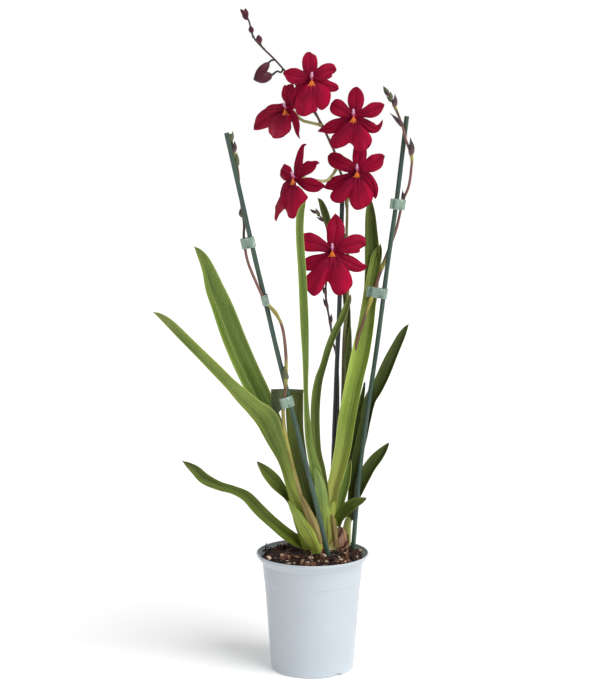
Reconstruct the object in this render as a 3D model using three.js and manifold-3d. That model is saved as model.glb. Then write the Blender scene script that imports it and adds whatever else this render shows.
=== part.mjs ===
// A potted orchid: a white pot filled with bark, two leafy shoots, four flower stems tied to
// three sticks with ribbon, six open blooms and five buds.
//
// Millimetres, +Z up. The origin is the middle of the pot's underside, on the surface it stands on.
// +X is to the right and -Y is towards the side that the blooms face.

import * as THREE from "three";
import { mergeVertices } from "three/addons/utils/BufferGeometryUtils.js";
import Module from "manifold-3d";

const wasm = await Module();
wasm.setup();

// Driving dimensions

const CLEARANCE = 0.3; // between any two separate pieces
const LEAF_THICKNESS = 0.9;
const TEPAL_THICKNESS = 0.9;
const STICK_RADIUS = 2.5;
const STALK_RADIUS = 1.1; // of the stalk of a bloom or bud
const SEED = 41;
const DETAIL = 0.08; // faces flatter than this are joined

const POT = {
  height: 126,
  wall: 1.5,
  floor: 4,
  rimRadius: 60,
  neckRadius: 53.6, // where the wall turns out into the rim
  neckHeight: 113,
  stepHeight: 89,
  stepDepth: 0.7,
  shoulderRadius: 51.9, // just above the step
  baseRadius: 44.5,
  footOuter: 43,
  footInner: 39.5,
  footHeight: 2.4,
  bossRadius: 10, // the flat disc in the middle of the underside
  notches: 3,
  notchRadius: 8,
  notchHeight: 3.2,
  notchAzimuth: -53, // degrees from +X, so 37 degrees right of the front
  drainHoles: 6,
  drainRadius: 4,
  drainCircle: 25,
  segments: 36,
};

const MEDIUM = {
  surface: 116.5,
  chips: 36,
  chipLength: [9, 19],
  chipWidth: [6, 11],
  chipHeight: [4, 7],
  chipCentre: [116.6, 119.2],
  chipReach: 50, // furthest chip centre from the axis
  chipTilt: 0.45, // radians, the most that a chip leans
};

const TIE = {
  height: 11,
  thickness: 0.8,
  stickSlack: 0.7, // between the stick and the inside of the loop
  stemRadius: 3, // inside of the loop round the stem
  tailThickness: 1.3,
};

// The sticks, each from its top down to its lower end inside the medium

const STICKS = [
  {
    name: "stick_front",
    points: [
      [-88, -38, 571], [-62, -34, 454], [-50, -32, 403], [-38, -29, 350], [-24.5, -26, 295],
      [-10.5, -25, 239.5], [2, -22, 190.5], [18, -15, 120], [36, -7, 41],
    ],
  },
  {
    name: "stick_middle",
    points: [
      [32, 37, 520], [29, 36, 393.5], [27, 37, 339], [23.5, 39, 240.5], [20, 42, 122.5], [18, 44, 44],
    ],
  },
  {
    name: "stick_right",
    points: [
      [98.5, 19, 588.5], [88.5, 19, 501], [80, 19, 437.5], [69.5, 19, 352], [57.5, 19, 266],
      [50, 19, 200.5], [44.5, 19, 131], [38, 19, 54],
    ],
  },
];

// The shoots: sheathed stem bases and the old pseudobulb, standing in the medium.
// Each row of rings is [x, y, z, width along x, width along y].

const SHOOTS = [
  {
    name: "shoot_left",
    colour: "#b9c35e",
    rings: [
      [4, 15, 100, 13, 10], [3, 14, 122, 18, 12], [0, 12, 138, 17, 10], [-6, 8, 162, 12, 7],
      [-10, 5, 182, 6, 4],
    ],
  },
  {
    name: "shoot_right",
    colour: "#aab551",
    rings: [
      [19, 20, 100, 12, 10], [19, 20, 122, 11, 10], [19, 18, 142, 12, 9], [20, 14, 162, 12, 7],
      [23, 12, 180, 6, 4],
    ],
  },
  {
    name: "shoot_back",
    colour: "#bcc46a",
    rings: [[37, 34, 102, 9, 8], [37, 33, 122, 11, 9], [37, 31, 138, 10, 7], [39, 29, 158, 6, 4]],
  },
  {
    name: "old_pseudobulb",
    colour: "#a77f5c",
    rings: [
      [31, 20, 104, 10, 8], [31, 20, 120, 12, 10], [31, 20, 133, 12.5, 10], [30.5, 20.5, 143, 9.5, 8],
      [30, 21, 149, 4, 3],
    ],
  },
];

// The flower stems. points run up from the base. A bract sits at a height and leans to a side, by a
// share of its length. A branch leaves the stem at a height and runs by way of its points to its end.

const SPIKES = [
  {
    name: "spike_left",
    colour: "#9c7558",
    radius: [2.4, 1.1],
    steps: 22,
    points: [
      [-7, 0, 166], [-15, -10, 198], [-23, -19, 231], [-29.5, -25, 263], [-31, -27, 286.5],
      [-29, -29, 302.5], [-28, -31, 318.5], [-28, -32, 343], [-31, -36, 369.5], [-37.5, -37, 385.5],
      [-50, -36, 401], [-59.5, -35, 421], [-67.5, -33, 441.5], [-71, -30, 464], [-71, -29, 480.5],
      [-75.5, -30, 511], [-76.5, -33, 531.5], [-82.5, -36, 561], [-84.5, -37, 570],
    ],
    bracts: [
      { height: 309, side: [-1, -0.4, 0], length: 18, lean: 0.15 },
      { height: 371, side: [-1, -0.8, 0], length: 17, lean: 0.15 },
      { height: 482, side: [-1, -0.4, 0], length: 11, lean: 0.2 },
      { height: 531, side: [1, -0.3, 0], length: 13, lean: 0.25 },
      { height: 555, side: [1, -0.2, 0], length: 12, lean: 0.2 },
    ],
    branches: [],
  },
  {
    name: "spike_right",
    colour: "#96684f",
    radius: [2.4, 1.2],
    steps: 25,
    points: [
      [27.5, 22, 164.5], [31, 16, 201], [33.5, 15, 250], [38.5, 13, 304.5], [44.5, 12.5, 340],
      [51.5, 12.5, 365.5], [60, 17, 390], [67, 23, 408.5], [73.5, 27, 428], [81.5, 28, 449.5],
      [89, 26, 471], [95, 21, 499], [101, 18, 515.5], [103.5, 16, 534.5], [103.5, 15, 547],
      [97.5, 13, 563.5], [92.5, 13.5, 581.5], [84, 15, 601.5], [77.5, 15, 614],
    ],
    bracts: [
      { height: 381, side: [-1, -0.6, 0], length: 18, lean: 0.15 },
      { height: 503, side: [-1, -0.4, 0], length: 13, lean: 0.25 },
      { height: 533, side: [1, -0.4, 0], length: 21, lean: 0.25 },
      { height: 570, side: [-1, -0.3, 0], length: 16, lean: 0.5 },
      { height: 584, side: [1, -0.3, 0], length: 13, lean: 0.45 },
      { height: 600, side: [-1, -0.4, 0], length: 11, lean: 0.3 },
    ],
    branches: [],
  },
  {
    name: "spike_main",
    colour: "#8d8548",
    radius: [2.3, 0.9],
    steps: 27,
    points: [
      [20.5, 31, 148], [28, 34, 191.5], [31, 37, 240.5], [33, 38, 295.5], [34, 38, 350],
      [37.5, 37, 393.5], [38, 36.5, 431], [36.5, 34, 463], [36.5, 31, 493], [33, 26, 518.5],
      [26.5, 20, 537.5], [22, 16, 553.5], [15, 12, 568], [9, 8, 579.5], [1.5, 5, 593], [-10.5, 3, 610],
      [-20.5, 1, 624.5], [-29.5, -1, 635], [-39.5, -3, 646], [-49.5, -5, 655.5], [-59.5, -7, 666],
      [-63, -8, 673.5], [-65, -9, 682.5], [-68, -9, 689.5],
    ],
    bracts: [
      { height: 388, side: [1, -0.5, 0], length: 14, lean: 0.2 },
      { height: 455, side: [-1, -0.6, 0], length: 14, lean: 0.2 },
    ],
    branches: [
      { bloom: 1, height: 593, via: [[0, -6, 606]] },
      { bloom: 2, height: 579, via: [[-2, 7, 581.5], [-12.5, 6, 585]] },
      { bloom: 3, height: 560, via: [[31.5, 4, 572]] },
      { bloom: 4, height: 497, via: [[41.5, 22, 517]] },
      { bloom: 5, height: 537, via: [[20.5, 15, 527], [11, 8, 521]] },
      { bloom: 6, height: 434, via: [[32, 20, 441]] },
      { bud: 1, height: 646, via: [[-43, -3, 645]] },
      { bud: 2, height: 636, via: [[-33, -1, 633], [-37, -1, 634]] },
      { bud: 3, height: 657, via: [[-53, -7, 659.5]] },
      { bud: 4, height: 669, via: [[-62, -9.5, 670]] },
    ],
  },
  {
    name: "spike_thin",
    colour: "#5d4038",
    radius: [1.5, 0.9],
    steps: 15,
    points: [
      [25, 35, 152.5], [27.5, 42, 206.5], [28, 43, 261.5], [28, 43, 305.5], [25.5, 42, 334],
      [21.5, 39, 349.5], [19.5, 37, 366], [16, 35, 385], [14, 35, 402], [15.5, 34, 420.5],
      [16.5, 33, 442], [16.5, 31, 460], [14, 29, 474], [9, 27, 482], [3, 26, 488],
    ],
    bracts: [
      { height: 369, side: [1, -0.3, 0], length: 12, lean: 0.3 },
      { height: 387, side: [-1, -0.3, 0], length: 12, lean: 0.3 },
      { height: 401, side: [-1, -0.4, 0], length: 10, lean: 0.3 },
      { height: 478, side: [-1, -0.5, 0], length: 10, lean: 0.5 },
    ],
    branches: [],
  },
];

// The ribbon ties, each round a stick and the stem beside it at one height

const TIES = [
  { name: "tie_1", stick: "stick_front", spike: "spike_left", height: 459, tailAt: "stem", tail: 0 },
  { name: "tie_2", stick: "stick_front", spike: "spike_left", height: 400, tailAt: "stick", tail: 3 },
  { name: "tie_3", stick: "stick_front", spike: "spike_left", height: 293, tailAt: "stem", tail: 0 },
  { name: "tie_4", stick: "stick_right", spike: "spike_right", height: 403, tailAt: "stem", tail: 4 },
  { name: "tie_5", stick: "stick_right", spike: "spike_right", height: 496, tailAt: "stick", tail: 3 },
];

// The leaves. Each row is [x, y, z, width] on the midrib, from the base up to the tip. yaw turns the
// upper face from the front, in degrees, at the base and at the tip. rise is how steeply the halves
// stand up from the midrib, and less than zero where the base clasps what is behind it.

const LEAVES = [
  {
    name: "leaf_front_upright",
    colour: "#5c7a2c",
    yaw: [20, 10],
    rise: [0.3, 0.5],
    steps: 15,
    rows: [
      [14.5, 17, 145.5, 8], [13, 10, 167, 11.5], [8.5, 4, 190.5, 13], [3, -2, 211, 12],
      [-3, -9, 238.5, 8], [-5.5, -13, 260.5, 7.5], [-7.5, -21, 299.5, 5], [-8, -29, 337.5, 6.5],
      [-9.5, -38, 380, 9], [-11.5, -48, 427.5, 8.5], [-14, -56, 468.5, 8], [-13, -60, 490, 7.5],
      [-7.5, -62, 503.5, 1.5],
    ],
  },
  {
    name: "leaf_left_drooping",
    colour: "#63802f",
    yaw: [10, 20],
    rise: [0.5, 0.5],
    steps: 11,
    rows: [
      [-7, 8, 130.5, 9.5], [-14.5, 4, 135.5, 12], [-28.5, -4, 146.5, 13], [-45, -13, 163, 12.5],
      [-57.5, -19, 176.5, 13], [-70, -25, 191.5, 11.5], [-83.5, -31, 200, 9], [-98, -36, 205.5, 9.5],
      [-113, -41, 214, 11.5], [-123, -45, 224.5, 10], [-135.5, -48, 235, 1.5],
    ],
  },
  {
    name: "leaf_left_short",
    colour: "#587a2a",
    yaw: [15, 25],
    rise: [0.4, 0.5],
    steps: 7,
    rows: [
      [-10, 18, 148.5, 6], [-20.5, 10, 171.5, 6.5], [-28, 3, 185.5, 7], [-34.5, -4, 195.5, 11.5],
      [-42.5, -12, 206.5, 15], [-51.5, -18, 218.5, 11], [-59, -22, 229, 1.5],
    ],
  },
  {
    name: "leaf_far_left",
    colour: "#6c8a34",
    yaw: [20, 35],
    rise: [-0.5, 0.5],
    steps: 17,
    rows: [
      [-0.5, 2, 129.5, 17], [-5, 0, 147.5, 21], [-12, -1, 166.5, 20], [-18, -3, 185.5, 15],
      [-24, -5, 201, 12.5], [-29, -7, 218.5, 13], [-34, -10, 233.5, 16.5], [-41.5, -13, 250, 21],
      [-51, -17, 271, 26], [-63.5, -21, 285, 20], [-76, -24, 298, 17.5], [-88.5, -27, 312, 13.5],
      [-102.5, -31, 327.5, 12.5], [-117.5, -34, 343.5, 11.5], [-133, -38, 360, 11],
      [-147, -41, 375, 10], [-156, -43, 383.5, 6.5], [-164.5, -44, 389.5, 1],
    ],
  },
  {
    name: "leaf_folded_over",
    colour: "#3c4a20",
    yaw: [0, 0],
    rise: [0.15, 0.15],
    steps: 14,
    rows: [
      [6, 12, 144.5, 8], [-0.5, 11, 167, 13], [-6.5, 10, 189, 15], [-12, 8, 211.5, 17],
      [-16, 6, 235.5, 17.5], [-18.5, 3, 258, 17], [-19, 0, 277.5, 17.5], [-22.5, -4, 289.5, 17],
      [-29.5, -8, 293.5, 15], [-36.5, -10, 290, 14], [-39.5, -11, 281.5, 11], [-40.5, -11, 275, 6],
    ],
  },
  {
    name: "leaf_left_upper",
    colour: "#67852f",
    yaw: [15, 25],
    rise: [0.4, 0.5],
    steps: 13,
    rows: [
      [-5, 17, 140, 10], [-12.5, 19, 173, 12], [-22, 20, 202, 14], [-34.5, 19, 236.5, 18],
      [-45.5, 17, 264, 22], [-57.5, 15, 290.5, 24.5], [-72, 12, 321, 26], [-85.5, 9, 353.5, 25.5],
      [-97, 5, 386, 24.5], [-105, 1, 407.5, 21.5], [-111, -3, 429, 15], [-117, -6, 443.5, 10],
      [-124, -8, 454.5, 1.5],
    ],
  },
  {
    name: "leaf_right_low",
    colour: "#4d6424",
    yaw: [-10, -20],
    rise: [0.4, 0.4],
    steps: 6,
    rows: [
      [26.5, 17, 150, 8], [29, 11, 160.5, 10.5], [36, 5, 171, 12.5], [43.5, 0, 178, 11.5],
      [51.5, -3, 182.5, 7.5], [57.5, -4, 185.5, 1.5],
    ],
  },
  {
    name: "leaf_bright",
    colour: "#8fa84c",
    yaw: [-5, -20],
    rise: [0.3, 0.45],
    steps: 15,
    rows: [
      [22, 19, 143, 10], [20.5, 15, 168, 13], [21.5, 12, 188.5, 13], [26.5, 9, 209, 15],
      [32.5, 6, 235.5, 17], [37, 4, 268.5, 18.5], [42, 4, 295.5, 18.5], [46.5, 6, 316.5, 19],
      [51.5, 11, 337, 19.5], [57, 18, 363, 17.5], [61, 26, 389, 15.5], [64, 32, 410, 13.5],
      [67, 37, 427.5, 12.5], [70, 40, 441.5, 11], [73.5, 43, 454, 1.5],
    ],
  },
  {
    name: "sheath_bright",
    colour: "#9fb35a",
    yaw: [-20, -30],
    rise: [0.4, 0.4],
    steps: 4,
    rows: [
      [27.5, 14, 163, 6], [31.5, 12, 180, 9], [36.5, 11, 200, 9.5], [39.5, 12, 215, 6],
      [41, 12, 223.5, 1.5],
    ],
  },
  {
    name: "leaf_arching",
    colour: "#5d7a2d",
    yaw: [15, -15],
    rise: [0.45, 0.45],
    steps: 12,
    rows: [
      [14.5, 14, 174, 7], [12.5, 9, 193.5, 8], [9.5, 6, 214, 8], [4, 4, 236, 9.5], [2.5, 2, 269, 9.5],
      [3.5, 1, 293.5, 9.5], [6.5, 1, 312, 8.5], [11.5, 1, 328, 7], [16.5, 2, 345, 7],
      [23.5, 4, 362.5, 7], [30.5, 6, 376, 7], [35.5, 9, 388.5, 6], [39.5, 11, 401.5, 1],
    ],
  },
  {
    name: "leaf_behind_thin",
    colour: "#536d29",
    yaw: [0, 0],
    rise: [0.4, 0.4],
    steps: 12,
    rows: [
      [27, 31, 170, 8], [31, 37, 207.5, 8], [34, 42, 251, 8], [36.5, 43, 294.5, 8], [37, 43, 338.5, 8],
      [37.5, 43, 371, 7.5], [36, 43, 398, 7], [31.5, 42, 425, 7], [24.5, 40, 452, 7.5],
      [18, 37, 470.5, 7.5], [13, 34, 486.5, 8], [9, 32, 497.5, 5.5], [5, 30, 503, 1],
    ],
  },
  {
    name: "leaf_right_short",
    colour: "#5b7a2c",
    yaw: [-20, -30],
    rise: [0.5, 0.5],
    steps: 8,
    rows: [
      [43, 30, 153.5, 5], [45, 28, 168.5, 6], [49, 26, 181, 8.5], [53, 25, 193, 12.5],
      [58, 24, 204.5, 14.5], [65, 21, 217, 14], [73, 17, 228, 11.5], [78, 14, 235.5, 7.5],
      [82, 12, 242.5, 1.5],
    ],
  },
  {
    name: "leaf_right_long",
    colour: "#688634",
    yaw: [-15, -30],
    rise: [0.4, 0.5],
    steps: 12,
    rows: [
      [40, 33, 150.5, 6], [42.5, 34, 175, 7.5], [45, 33, 197.5, 9], [49, 32, 219.5, 11.5],
      [54, 31, 242, 12], [58.5, 29.5, 264, 11.5], [63, 28, 285, 13.5], [70, 25, 298, 14],
      [76.5, 22, 312, 14], [84, 16, 331, 13.5], [91.5, 9, 349.5, 11], [96.5, 4, 361.5, 8],
      [101, 0, 372, 1.5],
    ],
  },
  {
    name: "leaf_tall_right",
    colour: "#4f6928",
    yaw: [-10, -15],
    rise: [0.3, 0.4],
    steps: 12,
    rows: [
      [29, 27, 182, 11], [33, 27, 231.5, 13], [40.5, 28, 284, 13], [48, 30, 321.5, 14],
      [55, 32, 355, 14.5], [60, 35, 382.5, 15.5], [63.5, 38, 404, 15.5], [64.5, 41, 425, 15.5],
      [64.5, 44, 446.5, 15.5], [63.5, 47, 468, 13.5], [62.5, 49, 487, 10], [61.5, 50, 504, 2],
    ],
  },
  {
    name: "leaf_small_dark",
    colour: "#39491f",
    yaw: [0, 0],
    rise: [0.3, 0.3],
    steps: 7,
    rows: [
      [31, 28, 198.5, 4.5], [34, 28, 231.5, 5], [37, 27, 264.5, 5], [37.5, 26, 292, 6],
      [38.5, 25, 319, 6.5], [39, 25, 340.5, 6], [39.5, 25, 356, 4.5], [40.5, 25, 368.5, 1],
    ],
  },
  {
    name: "leaf_dark_behind",
    colour: "#34441d",
    yaw: [-10, -15],
    rise: [0.35, 0.35],
    steps: 7,
    rows: [
      [30, 31, 175.5, 6], [35, 35, 202.5, 9], [41, 38, 227, 10], [46.5, 39, 249, 8],
      [50.5, 40, 271, 6.5], [54.5, 40, 289.5, 4.5], [57, 40, 305, 1.5],
    ],
  },
];

// The blooms. centre is the foot of the column and facing points out of the bloom. The tepals, each
// from its foot to its tip, are the dorsal sepal, the two petals and the two lateral sepals, right
// before left. Each row is [x, z, width, push]: where the midrib lies from the centre as seen from
// the front, and how far it stands out of the bloom's plane. lip is the lip's rim as seen from the
// front, from one shoulder round its lobes to the other shoulder.

const BLOOMS = [
  {
    centre: [-2, -22, 625.5],
    facing: [0.1, -0.98, -0.1],
    tepals: [
      [
        [0, 4, 8.5, 0.5], [-1, 9, 14, 1.5], [-1.5, 16, 16, 2], [-1.5, 22, 14, 1],
        [-1.5, 25, 8.5, -0.5], [-1, 27, 2, -1],
      ],
      [
        [3.5, 2, 9.5, 0.5], [9, 4.5, 13.5, 1.5], [15, 7.5, 16, 1.5], [20.5, 9.5, 13, 0],
        [24, 9, 7, -1], [26, 8.5, 2, -2],
      ],
      [
        [-4.5, 1.5, 9.5, 0.5], [-11.5, 2, 14.5, 1.5], [-17.5, 3, 16.5, 1.5], [-22.5, 4.5, 13, 0],
        [-26, 5.5, 6.5, -1], [-28.5, 6, 2, -2],
      ],
      [
        [4, -2, 8.5, 0], [11, -4.5, 11.5, -1], [18.5, -7.5, 11, -3], [24.5, -9, 9, -5],
        [29, -10.5, 4.5, -7],
      ],
      [
        [-3, -3, 8.5, 0], [-8, -9, 13, -2], [-12, -15.5, 14, -4], [-15.5, -21.5, 10.5, -6],
        [-18, -27, 3, -8],
      ],
    ],
    lip: [
      [-5, -5], [-11, -10], [-15, -18.5], [-16.5, -27.5], [-14.5, -34.5], [-10.5, -37.5], [-5, -37.5],
      [1, -35], [6.5, -32], [6, -28.5], [8.5, -30.5], [11.5, -31.5], [15.5, -29], [19, -24.5],
      [20.5, -18], [19.5, -12.5], [15, -8], [7.5, -5],
    ],
  },
  {
    centre: [-26.5, 2, 597],
    facing: [-0.5, -0.8, -0.3],
    tepals: [
      [[1, 4, 7.5, 0.5], [0, 10, 13, 1], [1, 16, 14.5, 1], [2, 21, 12.5, 0], [1.5, 23.5, 6.5, -1]],
      [[3, 1.5, 7.5, 0], [9, 4.5, 12.5, 0], [13.5, 7.5, 12.5, -1], [18.5, 9, 3, -2]],
      [[-2.5, 0.5, 8.5, 1], [-7.5, 0, 9.5, 2], [-14, -0.5, 9.5, 2], [-20, -2, 7, 1], [-23.5, -3.5, 2, 0]],
      [
        [2, -3.5, 7.5, 0], [5.5, -10, 10, -1], [7.5, -16.5, 9.5, -2], [8, -23, 7, -3],
        [8.5, -28.5, 3.5, -4], [10.5, -33.5, 1, -5],
      ],
      [
        [-4, -2.5, 9.5, 0], [-12, -6, 15.5, 0], [-21.5, -10.5, 19, -1], [-29, -15.5, 16, -2],
        [-34, -20, 9.5, -3], [-38, -24, 1.5, -4],
      ],
    ],
    lip: [
      [-6, -5], [-12, -7], [-17.5, -11], [-20.5, -17], [-21, -23], [-20, -28.5], [-16, -31.5],
      [-11.5, -32.5], [-6, -31], [-2, -28], [1.5, -24], [3, -17.5], [3.5, -10.5], [1.5, -5],
    ],
  },
  {
    centre: [42, -12, 588.5],
    facing: [-0.12, -0.98, -0.1],
    tepals: [
      [
        [0.5, 4, 8.5, 0.5], [1.5, 10, 15, 1.5], [2, 17, 17, 2], [2, 23, 14.5, 1], [2, 27, 8.5, -0.5],
        [2, 29.5, 2, -1.5],
      ],
      [
        [4.5, 1.5, 7.5, 0.5], [10.5, 3, 10, 1], [16.5, 4.5, 14, 1.5], [22, 7, 14.5, 0],
        [27, 9.5, 9, -2], [31, 11, 2, -4],
      ],
      [
        [-3.5, 0.5, 8.5, 0.5], [-9, 3.5, 13, 1.5], [-15, 7.5, 16.5, 2], [-20, 10.5, 15.5, 1],
        [-23.5, 12.5, 8.5, -1],
      ],
      [
        [4.5, -4, 7.5, 0], [11.5, -8, 9.5, -2], [17.5, -12.5, 11.5, -4], [22.5, -13.5, 8.5, -6],
        [26.5, -10.5, 4, -7], [29, -4.5, 1, -8],
      ],
      [
        [-4.5, -4, 8.5, 0], [-12, -7.5, 11.5, -1], [-19.5, -10.5, 14, -2], [-27, -13.5, 11.5, -3.5],
        [-33, -15, 5.5, -5], [-38, -16.5, 1, -6],
      ],
    ],
    lip: [
      [-6, -8.5], [-13.5, -13], [-20.5, -18.5], [-23.5, -23], [-24.5, -27.5], [-23, -31.5],
      [-19.5, -34], [-14.5, -33], [-9, -31], [-4.5, -28], [-1, -31], [1, -35], [6, -37], [11.5, -36],
      [16, -32], [18.5, -27], [18, -22], [14, -16.5], [7, -10.5], [3.5, -7.5],
    ],
  },
  {
    centre: [46.5, 8, 531.5],
    facing: [-0.1, -0.98, 0],
    tepals: [
      [[0.5, 4.5, 8.5, 0.5], [1.5, 10.5, 13.5, 1], [2.5, 18, 15, 1], [2.5, 25, 12.5, 0], [2.5, 31, 3, -2]],
      [
        [4, 1.5, 8.5, 0.5], [9, 4.5, 13, 1], [15, 7, 16.5, 1.5], [20, 10.5, 16.5, 1],
        [24.5, 14, 10, -1], [28.5, 15.5, 2, -3],
      ],
      [
        [-4, 1, 8.5, 0.5], [-9.5, 5, 13.5, 1.5], [-16, 8, 14.5, 2], [-22, 11, 16.5, 1],
        [-27.5, 14, 12.5, -0.5], [-31, 15.5, 4, -2],
      ],
      [
        [4.5, -2.5, 7.5, 0], [9.5, -6, 10.5, -2], [14, -11.5, 10, -4], [17, -17.5, 9, -6],
        [18, -24, 6.5, -8], [18.5, -29.5, 1.5, -9],
      ],
      [
        [-5.5, -5, 8.5, 0], [-13, -9, 12, -1], [-20.5, -12, 14.5, -2], [-27, -14.5, 13, -3.5],
        [-31.5, -16.5, 7, -5], [-35, -18, 1.5, -6],
      ],
    ],
    lip: [
      [-5.5, -9.5], [-13, -13.5], [-20.5, -17.5], [-26, -21], [-28.5, -26.5], [-26.5, -31],
      [-21.5, -33.5], [-16, -33], [-12.5, -30.5], [-9, -27.5], [-8, -32.5], [-5.5, -37], [-1.5, -40.5],
      [4, -40], [9.5, -37], [14.5, -32.5], [16.5, -26], [14.5, -20], [10, -14], [4, -9],
    ],
  },
  {
    centre: [-18, -10, 525],
    facing: [-0.55, -0.8, -0.15],
    tepals: [
      [
        [1.5, 4, 8.5, 0.5], [3, 11.5, 10, 1], [4, 18.5, 10, 1], [5, 25.5, 8, 0], [6, 30.5, 5, -1],
        [7, 33, 3, -2], [10, 34, 1, -3],
      ],
      [
        [4, 3, 7.5, 0], [8.5, 7.5, 11.5, 0], [13, 11, 13, -1], [16.5, 13, 9, -2], [19.5, 15, 4.5, -3],
        [22.5, 14.5, 1, -4],
      ],
      [[-3, 1, 8.5, 0.5], [-6.5, 3, 14, 1.5], [-10, 5, 17.5, 1.5], [-14, 6.5, 16, 0], [-16, 7.5, 10.5, -1]],
      [
        [3, -3, 7.5, 0], [8.5, -6, 12.5, 0], [14.5, -7.5, 15, -1], [20, -8.5, 13, -2],
        [24, -8.5, 7.5, -3.5], [28.5, -9.5, 1, -5],
      ],
      [
        [-2.5, -3.5, 7.5, 0], [-9, -8, 9.5, -2], [-14, -12.5, 9, -4], [-17.5, -19.5, 6, -6],
        [-20, -26, 2, -8],
      ],
    ],
    lip: [
      [-8.5, -9], [-13.5, -13], [-16, -17.5], [-18, -23.5], [-21.5, -29.5], [-23, -36.5], [-24, -43.5],
      [-22, -47], [-19, -41], [-15.5, -35.5], [-13, -33.5], [-10.5, -37], [-8, -41.5], [-4.5, -43.5],
      [-1, -40.5], [3, -33], [7.5, -26.5], [10.5, -21.5], [9.5, -17.5], [6.5, -13], [1.5, -9],
    ],
  },
  {
    centre: [20.5, 0, 448.5],
    facing: [-0.05, -0.98, 0.15],
    tepals: [
      [
        [0.5, 4, 9.5, 0.5], [2, 10, 16, 1], [3.5, 18.5, 19, 1.5], [3.5, 26, 18, 0.5],
        [3.5, 32.5, 11.5, -1], [3, 39.5, 1.5, -3],
      ],
      [
        [4.5, 1.5, 8.5, 0.5], [10, 3.5, 13, 1.5], [17, 5.5, 17.5, 2], [23.5, 7.5, 20, 1.5],
        [29.5, 8.5, 16.5, 0], [35, 6, 4, -2],
      ],
      [
        [-4.5, 2, 8.5, 0.5], [-11, 5, 13, 1.5], [-18, 7.5, 18, 2], [-25.5, 9.5, 20, 1.5],
        [-31.5, 11.5, 14.5, 0], [-34.5, 12, 3, -2],
      ],
      [
        [4.5, -4, 7.5, 0], [10, -7.5, 11.5, -1], [17.5, -11.5, 14.5, -2], [24.5, -15, 13.5, -3.5],
        [31, -16, 8.5, -5], [36.5, -14.5, 1.5, -7],
      ],
      [
        [-4.5, -4.5, 7.5, 0], [-11.5, -8.5, 12, -1], [-19, -11.5, 15.5, -2],
        [-25.5, -13.5, 14.5, -3.5], [-31, -14.5, 8.5, -5], [-34, -15, 2, -6],
      ],
    ],
    lip: [
      [-5.5, -10], [-12, -15.5], [-19.5, -20], [-25.5, -24], [-29.5, -30], [-29.5, -36.5],
      [-25.5, -42], [-21.5, -46], [-18, -46.5], [-13.5, -43.5], [-10, -38.5], [-7.5, -33.5],
      [-5, -31.5], [-2.5, -35], [0, -41], [3.5, -45], [9, -45.5], [14, -43.5], [18.5, -38.5],
      [21, -34], [20, -27], [17, -20.5], [11.5, -15], [6, -10],
    ],
  },
];

const BLOOM = {
  coreRadius: 4.2,
  tepalFoot: 5, // width where a tepal leaves the core
  tepalCurl: -0.16, // how far its edges bend back, as a share of its half width
  lipForward: 5.5, // how far the lip stands out in front
  lipFall: -4, // how far its rim falls back
  lipFoot: 1.5, // how far its claw stands out
  clawHalfWidth: 2.6,
  clawDrop: 3.5,
  columnFoot: 2.2,
  columnForward: 5.5,
  columnRise: 6.2,
  columnRadius: 1.6,
  callusForward: 5,
  callusDrop: 3.6,
  callusSize: [2.4, 3.6, 2],
};

// The buds, each from its foot to its tip with its width. The last one is a pair at the stem's end.

const BUDS = [
  { name: "bud_1", shapes: [{ foot: [-45.8, -3.6, 642.4], tip: [-61, -6, 626], width: 9.5 }] },
  { name: "bud_2", shapes: [{ foot: [-42.5, -1.4, 630], tip: [-61.5, -4, 625.5], width: 11.5 }] },
  { name: "bud_3", shapes: [{ foot: [-54.4, -9, 662.2], tip: [-56, -11, 670.5], width: 6.5 }] },
  { name: "bud_4", shapes: [{ foot: [-62.5, -11, 672.4], tip: [-64, -13, 679.5], width: 5.5 }] },
  {
    name: "bud_5",
    shapes: [
      { foot: [-66.6, -9, 688.5], tip: [-73.5, -9.5, 697.5], width: 6 },
      { foot: [-67, -9, 689], tip: [-68.5, -8.5, 695.5], width: 4.5 },
    ],
  },
];

// Geometry helpers

const vector = (numbers) => new THREE.Vector3(numbers[0], numbers[1], numbers[2]);
const mix = THREE.MathUtils.lerp;
const radians = THREE.MathUtils.degToRad;

/** A smooth curve through a list of points. */
function curveThrough(points) {
  return new THREE.CatmullRomCurve3(points.map(vector), false, "catmullrom", 0.5);
}

/** The value at a share s along a list of equally spaced values. */
function valueAlong(values, s) {
  const place = s * (values.length - 1);
  const before = Math.min(Math.floor(place), values.length - 2);
  return mix(values[before], values[before + 1], place - before);
}

/** The closed solid of a closed geometry, its faces turned outwards. */
function solidOf(geometry) {
  const bare = geometry.clone();
  bare.deleteAttribute("normal");
  bare.deleteAttribute("uv");
  const merged = mergeVertices(bare, 1e-4);
  const vertProperties = new Float32Array(merged.getAttribute("position").array);
  const triVerts = new Uint32Array(merged.index.array);
  const solid = new wasm.Manifold(new wasm.Mesh({ numProp: 3, vertProperties, triVerts }));
  if (solid.volume() > 0) return solid;
  const turned = triVerts.slice();
  for (let i = 0; i < turned.length; i += 3) {
    turned[i] = triVerts[i + 1];
    turned[i + 1] = triVerts[i];
  }
  return new wasm.Manifold(new wasm.Mesh({ numProp: 3, vertProperties, triVerts: turned }));
}

/** An indexed geometry from a list of points and a list of corner numbers. */
function indexedGeometry(points, corners) {
  const geometry = new THREE.BufferGeometry().setFromPoints(points);
  geometry.setIndex(corners);
  return geometry;
}

/** The geometry of a solid, with flat faces. */
function geometryOf(solid) {
  const mesh = solid.getMesh();
  const points = [];
  for (let i = 0; i < mesh.vertProperties.length; i += mesh.numProp) {
    points.push(vector(mesh.vertProperties.slice(i, i + 3)));
  }
  const geometry = indexedGeometry(points, Array.from(mesh.triVerts)).toNonIndexed();
  geometry.computeVertexNormals();
  return geometry;
}

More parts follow.
